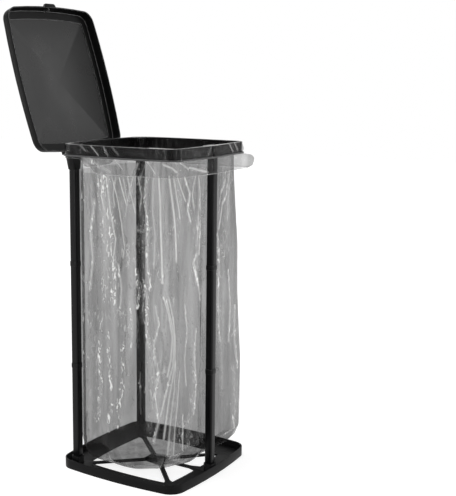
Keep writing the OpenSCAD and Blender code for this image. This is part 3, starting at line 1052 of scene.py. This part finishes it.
    # Painted glints on the cuff, over the rim.
    cuff_creases: tuple[Crease, ...] = (
        Crease(((219.0, 814), (223.5, 807), (226.5, 797)), 0.9, 0.0, 5),
        Crease(((237.0, 804), (246.0, 796), (255.0, 790)), 0.9, 0.0, 5),
        Crease(((158.0, 814), (167.0, 801), (176.0, 790)), 0.5, 0.8, 9),
        Crease(((181.0, 818), (188.0, 799)), 0.7),
        Crease(((209.0, 818), (214.0, 792)), 0.8),
        Crease(((229.0, 818), (236.0, 800)), 0.8),
        Crease(((149.0, 849), (156.0, 829)), 0.5),
        Crease(((158.0, 850), (165.0, 827)), 0.6),
        Crease(((170.0, 848), (174.0, 829)), 0.5),
        Crease(((178.0, 850), (184.0, 832)), 0.4),
        Crease(((291.0, 851), (298.0, 827)), 0.7),
        Crease(((300.0, 850), (305.0, 829)), 0.6),
        Crease(((262.0, 850), (258.0, 828)), 0.4),
    )
    hidden_turn: float = 172.0
    bulge: tuple[Point2, ...] = (
        (0.05, 0.0), (0.07, -7.0), (0.085, -10.0), (0.15, -11.5), (0.276, -12.0), (0.40, -5.0), (0.455, -2.0),
        (0.59, 0.0), (0.762, 12.0), (0.82, 14.0), (0.85, 1.0),
    )
    sag: tuple[Point2, ...] = (
        (0.05, 3.0), (0.15, 0.5), (0.28, 0.0), (0.45, 6.0), (0.6, 8.0), (0.78, 16.0), (0.85, 3.0),
    )

    def outer_reach(self, turn: float) -> float:
        """Line of the film that is pulled round the rim and its front boss.

        Args:
            turn: Direction in radians from +X.

        Returns:
            Its distance from the middle.
        """
        reach = self.rim.reach(turn)
        if math.sin(turn) < -0.5:
            c = self.rim.corner_middle()
            tip = (self.boss_half * 0.8, -self.boss_front)
            for side in (-1, 1):
                far = (side * (c + 4 * MM), -self.rim.reach(math.radians(-90)) + 6.6 * MM)
                near = (side * tip[0], tip[1])
                if side * math.cos(turn) >= -1e-9:
                    taut = line_reach(turn, near, far)
                    if abs(math.cos(turn) / math.sin(turn)) < abs(near[0] / near[1]):
                        taut = line_reach(turn, near, (0.0, near[1]))
                    if taut < 1.0 and abs(math.cos(turn) * taut) < abs(far[0]):
                        reach = max(reach, taut)
        return reach

    def inner_reach(self, turn: float) -> float:
        """Line of the film inside the posts.

        Args:
            turn: Direction in radians from +X.

        Returns:
            Its distance from the middle.
        """
        x, y = math.cos(turn), math.sin(turn)
        reach = self.room.reach(turn)
        if y > 0.3:
            flat = math.atan2(y, abs(x))
            if flat > math.radians(45):
                flat = math.radians(90) - flat
            reach = min(reach, line_reach(flat, self.rear_notch, self.rear_notch_end))
        elif y < -0.9:
            flat = math.atan2(y, abs(x))
            corner = self.front_notch
            if abs(x / y) < abs(corner[0] / corner[1]):
                reach = min(reach, line_reach(flat, corner, (0.0, corner[1])))
            else:
                reach = min(reach, line_reach(flat, corner, self.front_notch_end))
        return reach

    def turns(self) -> list[float]:
        """Directions of the stations, evenly spaced along the rim."""
        fine = 4096
        steps = [2 * math.pi * i / fine for i in range(fine + 1)]
        points = [Vector((math.cos(t), math.sin(t))) * self.rim.reach(t) for t in steps]
        lengths = [0.0]
        for a, b in zip(points, points[1:]):
            lengths.append(lengths[-1] + (b - a).length)
        found, k = [], 0
        for i in range(self.stations):
            goal = lengths[-1] * i / self.stations
            while lengths[k + 1] < goal:
                k += 1
            part = (goal - lengths[k]) / (lengths[k + 1] - lengths[k])
            found.append(steps[k] + (steps[k + 1] - steps[k]) * part)
        return found

    @staticmethod
    def evened(values: Sequence[float], width: int) -> list[float]:
        """Rounds a ring of values off, as film rounds a corner.

        Args:
            values: One value for each station.
            width: Stations on each side that are taken in.

        Returns:
            The rounded values, never above the given ones.
        """
        count = len(values)
        low = [min(values[(i + j) % count] for j in range(-width, width + 1)) for i in range(count)]
        return [
            min(values[i], sum(low[(i + j) % count] for j in range(-width, width + 1)) / (2 * width + 1))
            for i in range(count)
        ]

    def fold(self, turn: float, home: Vector, z: float) -> float:
        """Depth of the folds in the hanging film.

        Args:
            turn: Direction of the station.
            home: Place of the station on the rim.
            z: Height.

        Returns:
            How far the film stands back from its outermost line, zero or more.
        """
        side, level = math.degrees(turn), z / MM
        lean = (70 * math.sin(math.radians(level / 3.2)), 50 * math.sin(math.radians(level / 4.1)))
        wave = 0.5 + 0.3 * math.cos(math.radians(9 * side + lean[0]))
        wave += 0.2 * math.cos(math.radians(14 * side - lean[1]))
        x, y = home.x, home.y
        drift = noise.noise(Vector((x * 7, y * 7, z * 3.1))) * 0.03
        long = noise.noise(Vector(((x + drift) * 22, (y - drift) * 22, z * 1.3 + 5)))
        short = noise.noise(Vector(((x + drift) * 50, (y - drift) * 50, z * 3.0 + 9)))
        crumple = noise.noise(Vector((x * 60, y * 60, z * 42)))
        gather = noise.noise(Vector(((x + drift) * 62, (y - drift) * 62, z * 2.0 + 70)))
        where = smoothstep(0.02, 0.3, noise.noise(Vector((x * 16, y * 16, z * 3.5 + 40))))
        high = smoothstep(0.850, 0.822, z) * smoothstep(0.52, 0.80, z)
        depth = min(1.0, (self.top - z) / 0.15) * 8.0 * wave
        fine = 2.6 * (0.6 - abs(long) * 2.2) + 1.3 * (0.6 - abs(short) * 2.4)
        fine += 1.8 * where * crumple
        depth += smoothstep(0.850, 0.700, z) * fine + high * 2.4 * (0.6 - abs(gather) * 2.6)
        return max(0.0, depth) * MM

    def tucked(self, turn: float) -> float:
        """How close a station is to a rear post, which the film lies against.

        Args:
            turn: Direction of the station.

        Returns:
            1 at the post and 0 away from it.
        """
        if math.sin(turn) < 0:
            return 0.0
        return smoothstep(0.72, 0.93, abs(math.sin(2 * turn)))

    def slack(self, turn: float, z: float) -> float:
        """How far the film stands back at the front corners, where it hangs from the rim.

        Args:
            turn: Direction of the station.
            z: Height.

        Returns:
            The distance that it stands back, below zero where it bulges out.
        """
        corner = self.cornering(turn)
        return corner * along(self.bulge if math.cos(turn) > 0 else self.sag, z) * MM

    def cornering(self, turn: float) -> float:
        """How close a station is to a front corner, from 0 to 1."""
        if math.sin(turn) > 0:
            return 0.0
        return smoothstep(0.78, 1.0, abs(math.sin(2 * turn)))

    def ear(self, turn: float, z: float) -> float:
        """How far the loose corner of the cuff sticks out.

        Args:
            turn: Direction of the station.
            z: Height.

        Returns:
            The distance that it sticks out.
        """
        off = abs((turn - self.ear_turn + math.pi) % (2 * math.pi) - math.pi)
        share = max(0.0, 1 - off / math.radians(15.0))
        out = along(
            [
                (0.7815, 12.0), (0.788, 25.0), (0.806, 34.0), (0.816, 27.0), (0.8200, 1.0),
                (0.8248, 1.0), (0.828, 4.0), (0.834, 4.4), (0.841, 2.2), (0.846, 0.0),
            ],
            z,
        )
        return out * share * MM

    def hem_height(self, turn: float) -> float:
        """Height of the cuff's edge, which is pulled up where it passes a rear post.

        Args:
            turn: Direction of the station.

        Returns:
            The height.
        """
        side = math.degrees(turn) % 360
        near = min(abs(side - 45.0), abs(side - 135.0))
        return self.hem + along([(12.0, 34.0), (20.0, 24.0), (26.0, 4.0), (30.0, 0.0)], near) * MM

    def low_reach(self, turn: float, z: float) -> float:
        """Line of the film's rounded bottom, which is drawn in most at the front left.

        Args:
            turn: Direction of the station.
            z: Height.

        Returns:
            Its distance from the middle.
        """
        side = math.degrees(turn) % 360
        rows = self.bottom_rows
        for (a0, low), (a1, high) in zip(rows, rows[1:]):
            if side <= a1:
                part = (side - a0) / (a1 - a0)
                part = part * part * (3 - 2 * part)
                reaches = [p + (q - p) * part for p, q in zip(low, high)]
                return along(list(zip(self.bottom_levels, reaches)), z / MM) * MM
        return 0.0

    def build(self) -> bpy.types.Object:
        """Makes the bag as one skin from the cuff's hem to the bottom's middle."""
        turns = self.turns()
        outer = [self.outer_reach(t) for t in turns]
        inner = self.evened([self.inner_reach(t) for t in turns], 2)
        ways = [Vector((math.cos(t), math.sin(t), 0.0)) for t in turns]
        homes = [way * self.rim.reach(t) for way, t in zip(ways, turns)]
        cuff = self.cuff_rings(turns, ways, homes, outer)
        lip = self.lip_rings(ways, outer, inner)
        wall = self.wall_rings(turns, ways, homes, inner)
        wall += self.bottom_rings(turns, ways, homes)
        bm = bmesh.new()
        for name in ("fold", "crinkle"):
            bm.verts.layers.float.new(name)
        rows = loft_rings(bm, cuff + lip + wall)
        self.mark(bm, rows[: len(cuff)], turns, self.cuff_creases, 0.5)
        self.mark(bm, rows[len(cuff) + len(lip) :], turns, self.all_creases(), 0.45)
        fold = bm.verts.layers.float["fold"]
        # Painted highlight lines along the cuff's hem and along the rim's top lip.
        for row, light in ((rows[0], 0.6), (rows[1], 0.25), (rows[len(cuff)], 0.5), (rows[len(cuff) + 1], 0.8)):
            for vert in row:
                vert[fold] = max(vert[fold], light)
        bmesh.ops.pointmerge(bm, verts=rows[-1], merge_co=Vector((0, 0, self.floor)))
        bmesh.ops.recalc_face_normals(bm, faces=bm.faces[:])
        self.cut_slots(bm)
        piece = as_piece(
            bm, "bag_film", [self.film.build()], Body.STAND, ["bin_bag"], 180.0
        )
        return piece

    def all_creases(self) -> tuple[Crease, ...]:
        """Creases of the sides in view, and the same ones turned to the hidden sides."""
        seen = self.wall_creases + self.soft_folds
        return seen + tuple(crease.turned(self.hidden_turn) for crease in seen)

    @staticmethod
    def mark(
        bm: bmesh.types.BMesh,
        rows: Sequence[Sequence[bmesh.types.BMVert]],
        turns: Sequence[float],
        creases: Sequence[Crease],
        least: float,
    ) -> None:
        """Writes on each vertex how far it is part of a fold or of a crinkled patch, which sets the film's
        painted glints there.

        Args:
            bm: The bag's skin.
            rows: Its vertices, ring by ring.
            turns: Directions of the stations.
            creases: The creases on these rings.
            least: Crinkling outside the creases, at most.
        """
        fold, crinkle = bm.verts.layers.float["fold"], bm.verts.layers.float["crinkle"]
        for row in rows:
            close = [c for c in creases if c.spans(row[0].co.z / MM)]
            for vert, turn in zip(row, turns):
                side, height = math.degrees(turn), vert.co.z / MM
                light, crumpled = 0.0, 0.0
                for crease in close:
                    near = crease.nearness(side, height)
                    light = max(light, crease.light * near)
                    crumpled = max(crumpled, crease.crinkle * min(1.0, near * 2))
                patch = noise.noise(vert.co * 13 + Vector((0, 0, 7)))
                loose = smoothstep(0.15, 0.45, patch) * smoothstep(90, 130, height)
                # These two attributes place the film's painted glints.
                vert[fold] = light
                vert[crinkle] = max(crumpled, least * loose)

    def cut_slots(self, bm: bmesh.types.BMesh) -> None:
        """Cuts the two slots that let the hinge brackets through.

        Args:
            bm: The bag's skin.
        """
        cut = [
            face
            for face in bm.faces
            if max(v.co.z for v in face.verts) > self.slot_z
            and max(v.co.y for v in face.verts) > self.slot_y
            and min(abs(abs(v.co.x) - self.slot_x) for v in face.verts) < self.slot_half
        ]
        bmesh.ops.delete(bm, geom=cut, context="FACES")

    def cuff_rings(
        self,
        turns: Sequence[float],
        ways: Sequence[Vector],
        homes: Sequence[Vector],
        outer: Sequence[float],
    ) -> list[list[Vector]]:
        """Rings of the cuff, from its hem up to the rim's top edge.

        Args:
            turns: Directions of the stations.
            ways: The same as unit vectors.
            homes: Places of the stations on the rim.
            outer: Reach of the film round the rim.

        Returns:
            The rings.
        """
        rings = []
        for k in range(36):
            level = k / 35
            ring = []
            for turn, way, home, reach in zip(turns, ways, homes, outer):
                wave = noise.noise(Vector((home.x * 14, home.y * 14, 3.0)))
                hem = self.hem_height(turn) + 2.0 * MM * wave
                z = hem + (self.top - 0.6 * MM - hem) * level
                hang = smoothstep(self.rim_bottom, self.hem, z) * (1 - self.tucked(turn))
                ripple = noise.noise(Vector((home.x * 55, home.y * 55, z * 26)))
                crease = noise.noise(Vector((home.x * 70 + z * 60, home.y * 70 - z * 60, z * 20)))
                out = 1.0 + 0.6 * (1 - abs(crease) * 2.4)
                out += hang * (2.6 + 5.0 * wave + 2.0 * ripple)
                near_band = 1 - smoothstep(2 * MM, 5 * MM, abs(z - self.band_height))
                out = out * (1 - near_band) + min(out, 1.5) * near_band
                out = max(0.45, out) * MM + self.ear(turn, z)
                point = way * (reach + out)
                ring.append(Vector((point.x, point.y, z)))
            rings.append(ring)
        return rings

    def lip_rings(
        self, ways: Sequence[Vector], outer: Sequence[float], inner: Sequence[float]
    ) -> list[list[Vector]]:
        """Rings of the film over the rim's top.

        Args:
            ways: Directions of the stations.
            outer: Reach of the film round the rim.
            inner: Reach of the film inside the rim.

        Returns:
            The rings.
        """
        rings = []
        for share, rise in ((0.0, 0.0), (0.2, 0.15), (0.5, 0.18), (0.8, 0.12), (1.0, -0.1)):
            ring = []
            for way, far, near in zip(ways, outer, inner):
                reach = far + 0.3 * MM + (near - far - 0.3 * MM) * share
                ring.append(Vector((way.x * reach, way.y * reach, self.top + rise * MM)))
            rings.append(ring)
        return rings

    def wall_rings(
        self,
        turns: Sequence[float],
        ways: Sequence[Vector],
        homes: Sequence[Vector],
        inner: Sequence[float],
    ) -> list[list[Vector]]:
        """Rings of the hanging wall, from the rim's top to the knee above the tray.

        Args:
            turns: Directions of the stations.
            ways: The same as unit vectors.
            homes: Places of the stations on the rim.
            inner: Reach of the film inside the posts.

        Returns:
            The rings.
        """
        rings = []
        count = 134
        creases = self.all_creases()
        for k in range(count):
            z = self.top - 2 * MM - (self.top - 84 * MM) * k / (count - 1)
            close = [c for c in creases if c.spans(z / MM)]
            ring = []
            for turn, way, home, reach in zip(turns, ways, homes, inner):
                loose = 1 - 0.85 * self.tucked(turn)
                back = self.fold(turn, home, z) * loose
                side, height = math.degrees(turn), z / MM
                for crease in close:
                    back -= 1.5 * MM * loose * crease.light * crease.nearness(side, height)
                back = max(0.0, back)
                corner, slack = self.cornering(turn), self.slack(turn, z)
                if math.cos(turn) > 0:
                    back = back * (1 - 0.8 * corner) + slack
                else:
                    back = max(back, slack)
                reach = min(reach, self.low_reach(turn, z)) if z < 0.11 else reach
                point = way * (reach - 0.2 * MM - back)
                ring.append(Vector((point.x, point.y, z)))
            rings.append(ring)
        return rings

    def bottom_rings(
        self, turns: Sequence[float], ways: Sequence[Vector], homes: Sequence[Vector]
    ) -> list[list[Vector]]:
        """Rings of the rounded bottom, from the knee to its middle.

        Args:
            turns: Directions of the stations.
            ways: The same as unit vectors.
            homes: Places of the stations on the rim.

        Returns:
            The rings.
        """
        room = self.evened([self.inner_reach(t) for t in turns], 2)
        rings = []
        for k in range(1, 25):
            z = self.floor + (84 * MM - self.floor) * (1 - k / 24) ** 1.5
            ring = []
            for turn, way, home, wide in zip(turns, ways, homes, room):
                back = self.fold(turn, home, z) * (0.25 + 0.75 * smoothstep(0.0, 0.08, z))
                back *= 1 - 0.8 * self.cornering(turn) * max(0.0, math.cos(turn))
                bulge = min(0.0, self.slack(turn, z))
                reach = min(wide - 0.2 * MM - bulge, self.low_reach(turn, z)) - back
                ring.append(Vector((way.x * reach, way.y * reach, z)))
            rings.append(ring)
        last = rings[-1]
        for share in (0.86, 0.72, 0.58, 0.45, 0.33, 0.22, 0.12, 0.03):
            ring = []
            for edge in last:
                x, y = edge.x * share, edge.y * share
                lift = noise.noise(Vector((x * 30, y * 30, 1.0)))
                rise = (2.2 + 3.0 * lift) * (1 - share * 0.6) * MM
                ring.append(Vector((x, y, self.floor + max(0.0, rise))))
            rings.append(ring)
        return rings


@dataclass
class ElasticBand:
    """The braided elastic cord round the cuff, and the ferrule that joins its ends."""

    bag: FilmBag
    cord_radius: float = 2.0 * MM
    offset: float = 4.0 * MM
    height: float = 822.3 * MM
    steps: int = 640
    sides: int = 20
    ferrule_length: float = 21 * MM
    ferrule_radius: float = 2.5 * MM
    ferrule_wall: float = 0.35 * MM
    ferrule_y: float = 180.5 * MM
    # The braid's crown colour is a painted highlight.
    braid: BraidedCover = BraidedCover(
        "polyester_braid_on_rubber", "#0f0f10", "#2b2b2c", 0.6, 1.0, 0.25
    )
    metal: PlainMetal = PlainMetal("aluminium_crimped", "#dcdee0", 0.26, 0.6, 0.006)

    def build(self) -> list[bpy.types.Object]:
        """Makes the cord and its ferrule."""
        return [self.build_cord(), self.build_ferrule()]

    def build_cord(self) -> bpy.types.Object:
        """Makes the cord as a closed tube with a UV map along it."""
        line = []
        for i in range(self.steps):
            turn = 2 * math.pi * i / self.steps
            reach = self.bag.outer_reach(turn) + self.offset
            line.append(Vector((math.cos(turn) * reach, math.sin(turn) * reach, self.height)))
        rings = []
        up = Vector((0, 0, 1))
        for i, middle in enumerate(line):
            way = (line[(i + 1) % self.steps] - line[i - 1]).normalized()
            side = way.cross(up)
            ring = []
            for j in range(self.sides):
                a = 2 * math.pi * j / self.sides
                ring.append(middle + (side * math.cos(a) + up * math.sin(a)) * self.cord_radius)
            rings.append(ring)
        bm = bmesh.new()
        rows = loft_rings(bm, rings, closed=True)
        place = {}
        for i, row in enumerate(rows):
            for j, vert in enumerate(row):
                place[vert] = (i, j)
        layer = bm.loops.layers.uv.new("braid")
        pitch = 2 * math.pi * self.cord_radius
        step = 2 * math.pi * 0.19 / self.steps
        for face in bm.faces:
            spots = [place[loop.vert] for loop in face.loops]
            wrap_i = max(s[0] for s in spots) - min(s[0] for s in spots) > 1
            wrap_j = max(s[1] for s in spots) - min(s[1] for s in spots) > 1
            for loop, (i, j) in zip(face.loops, spots):
                i = i + self.steps if wrap_i and i == 0 else i
                j = j + self.sides if wrap_j and j == 0 else j
                loop[layer].uv = (i * step / pitch, j / self.sides)
        bmesh.ops.recalc_face_normals(bm, faces=bm.faces[:])
        return as_piece(
            bm, "band_cord", [self.braid.build()], Body.STAND, ["elastic_band"], 80.0
        )

    def build_ferrule(self) -> bpy.types.Object:
        """Turns the ferrule's wall about its axis and presses its two crimps in."""
        half = self.ferrule_length / 2
        outer, bore = self.ferrule_radius, self.ferrule_radius - self.ferrule_wall
        profile = [
            (-half, bore), (-half, outer - 0.15 * MM), (-half + 0.2 * MM, outer),
            (-0.62 * half, outer), (-0.56 * half, outer - 0.2 * MM), (-0.36 * half, outer - 0.2 * MM),
            (-0.3 * half, outer), (0.3 * half, outer), (0.36 * half, outer - 0.2 * MM),
            (0.56 * half, outer - 0.2 * MM), (0.62 * half, outer), (half - 0.2 * MM, outer),
            (half, outer - 0.15 * MM), (half, bore),
        ]
        bm = bmesh.new()
        verts = [bm.verts.new((x, 0.0, r)) for x, r in profile]
        edges = [bm.edges.new(pair) for pair in zip(verts, verts[1:])]
        edges.append(bm.edges.new((verts[-1], verts[0])))
        bmesh.ops.spin(
            bm,
            geom=verts + edges,
            cent=(0, 0, 0),
            axis=(1, 0, 0),
            angle=2 * math.pi,
            steps=40,
            use_merge=True,
            use_duplicate=False,
        )
        bmesh.ops.remove_doubles(bm, verts=bm.verts[:], dist=0.001 * MM)
        bmesh.ops.recalc_face_normals(bm, faces=bm.faces[:])
        bmesh.ops.transform(
            bm,
            matrix=Matrix.Translation((0.0, self.ferrule_y, self.height)),
            verts=bm.verts[:],
        )
        return as_piece(
            bm, "band_ferrule_crimped", [self.metal.build()], Body.STAND,
            ["band_ferrule"], 40.0,
        )


# Studio


@dataclass(frozen=True)
class Softbox:
    """A rectangular lamp, whose place is given by its turn about the object."""

    name: str
    turn: float
    distance: float
    height: float
    target_height: float
    width: float
    length: float
    power: float

    def build(self) -> bpy.types.Object:
        """Makes the lamp."""
        data = bpy.data.lights.new(self.name, "AREA")
        data.shape = "RECTANGLE"
        data.size = self.width
        data.size_y = self.length
        data.energy = self.power
        lamp = bpy.data.objects.new(self.name, data)
        bpy.context.scene.collection.objects.link(lamp)
        turn = math.radians(self.turn)
        place = Vector((-math.sin(turn), -math.cos(turn), 0.0)) * self.distance
        place.z = self.height
        lamp.location = place
        way = Vector((0.0, 0.0, self.target_height)) - place
        lamp.rotation_euler = way.to_track_quat("-Z", "Y").to_euler()
        lamp.visible_camera = False
        return lamp


@dataclass
class Studio:
    """Camera, lamps, floor and white surroundings."""

    turn: float = 56.167
    distance: float = 2.65365
    height: float = 1.0425
    dip: float = 9.73
    focus_px: float = 1037.16
    middle_x: float = 154.95
    middle_y: float = 243.92
    sensor: float = 36.0
    ambient: float = 0.3
    floor_glow: float = 0.76
    lamps: tuple[Softbox, ...] = (
        Softbox("strip_front_right", 12.0, 2.6, 0.95, 0.75, 0.16, 1.7, 20.0),
        Softbox("strip_right", -35.0, 2.6, 0.8, 0.6, 0.12, 1.5, 13.0),
        Softbox("strip_left", 104.0, 2.6, 0.8, 0.6, 0.12, 1.5, 16.0),
        Softbox("strip_rear_left", 146.0, 2.6, 1.0, 0.7, 0.12, 1.5, 13.0),
        Softbox("top_softbox", 150.0, 0.5, 2.9, 0.6, 1.3, 0.9, 38.0),
        Softbox("panel_softbox", -60.0, 2.6, 1.95, 1.0, 0.7, 0.7, 3.0),
    )

    def build(self) -> None:
        """Makes the whole studio."""
        self.build_camera()
        self.build_world()
        self.build_floor()
        for lamp in self.lamps:
            lamp.build()
        bpy.context.scene.view_settings.view_transform = "Standard"

    def build_camera(self) -> None:
        """Sets the camera at the photograph's viewing angle."""
        data = bpy.data.cameras.new("photo_camera")
        data.sensor_fit = "AUTO"
        data.sensor_width = self.sensor
        data.lens = self.focus_px / PHOTO_HEIGHT * self.sensor
        data.shift_x = (PHOTO_WIDTH / 2 - self.middle_x) / PHOTO_HEIGHT
        data.shift_y = (self.middle_y - PHOTO_HEIGHT / 2) / PHOTO_HEIGHT
        data.clip_end = 50.0
        turn = math.radians(self.turn)
        camera = bpy.data.objects.new("photo_camera", data)
        camera.location = (
            -self.distance * math.sin(turn),
            -self.distance * math.cos(turn),
            self.height,
        )
        camera.rotation_euler = (math.radians(90 - self.dip), 0.0, -turn)
        bpy.context.scene.collection.objects.link(camera)
        bpy.context.scene.camera = camera

    def white_to_eye(self, tree: bpy.types.NodeTree) -> bpy.types.NodeSocket:
        """Adds nodes that are 1 for a ray that should see plain white.

        Args:
            tree: The node tree that takes them.

        Returns:
            The output that holds the answer.
        """
        path = add_node(tree, "ShaderNodeLightPath")
        mirror = add_node(
            tree,
            "ShaderNodeMath",
            {"operation": "MAXIMUM"},
            {0: path.outputs["Is Camera Ray"], 1: path.outputs["Is Glossy Ray"]},
        )
        clear = add_node(
            tree,
            "ShaderNodeMath",
            {"operation": "MAXIMUM"},
            {0: mirror.outputs["Value"], 1: path.outputs["Is Transmission Ray"]},
        )
        return clear.outputs["Value"]

    def build_world(self) -> None:
        """Makes soft even surroundings that look white."""
        world = bpy.data.worlds.new("studio")
        world.use_nodes = True
        tree = world.node_tree
        tree.nodes.clear()
        soft = add_node(
            tree,
            "ShaderNodeBackground",
            {"Color": (1.0, 1.0, 1.0, 1.0), "Strength": self.ambient},
        )
        white = add_node(
            tree, "ShaderNodeBackground", {"Color": (1.0, 1.0, 1.0, 1.0), "Strength": 1.0}
        )
        mix = add_node(
            tree,
            "ShaderNodeMixShader",
            links={
                0: self.white_to_eye(tree),
                1: soft.outputs["Background"],
                2: white.outputs["Background"],
            },
        )
        add_node(tree, "ShaderNodeOutputWorld", links={"Surface": mix.outputs["Shader"]})
        bpy.context.scene.world = world

    def build_floor(self) -> None:
        """Makes a pale floor that keeps the object's shadow."""
        bm = bmesh.new()
        bmesh.ops.create_grid(bm, x_segments=1, y_segments=1, size=9.0)
        mesh = bpy.data.meshes.new("floor")
        bm.to_mesh(mesh)
        bm.free()
        material, tree = blank_material("floor_white")
        place = add_node(tree, "ShaderNodeTexCoord")
        away = add_node(
            tree,
            "ShaderNodeVectorMath",
            {"operation": "LENGTH"},
            {0: place.outputs["Object"]},
        )
        glow = add_node(
            tree,
            "ShaderNodeMapRange",
            {"From Min": 0.5, "From Max": 2.0, "To Min": self.floor_glow, "To Max": 1.0},
            {"Value": away.outputs["Value"]},
        )
        seen = self.white_to_eye(tree)
        light = add_node(
            tree,
            "ShaderNodeMath",
            {"operation": "MULTIPLY"},
            {0: glow.outputs["Result"], 1: seen},
        )
        bright = add_node(
            tree,
            "ShaderNodeEmission",
            {"Color": (1.0, 1.0, 1.0, 1.0)},
            {"Strength": light.outputs["Value"]},
        )
        paint = add_node(tree, "ShaderNodeBsdfDiffuse", {"Color": srgb("#f0f0f0")})
        veiled = add_node(tree, "ShaderNodeBsdfDiffuse", {"Color": srgb("#b0b0b0")})
        body = add_node(
            tree,
            "ShaderNodeMixShader",
            links={0: seen, 1: paint.outputs["BSDF"], 2: veiled.outputs["BSDF"]},
        )
        both = add_node(
            tree,
            "ShaderNodeAddShader",
            links={0: body.outputs["Shader"], 1: bright.outputs["Emission"]},
        )
        add_node(tree, "ShaderNodeOutputMaterial", links={"Surface": both.outputs["Shader"]})
        mesh.materials.append(material)
        floor = bpy.data.objects.new("floor", mesh)
        bpy.context.scene.collection.objects.link(floor)


def main() -> None:
    """Builds the camera and studio, then each piece."""
    logging.basicConfig(level=logging.INFO, format="%(name)s: %(message)s")
    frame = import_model()
    Studio().build()
    Mouldings().dress(frame["nodes"])
    bag = FilmBag()
    bag.build()
    ElasticBand(bag).build()


if __name__ == "__main__":
    main()
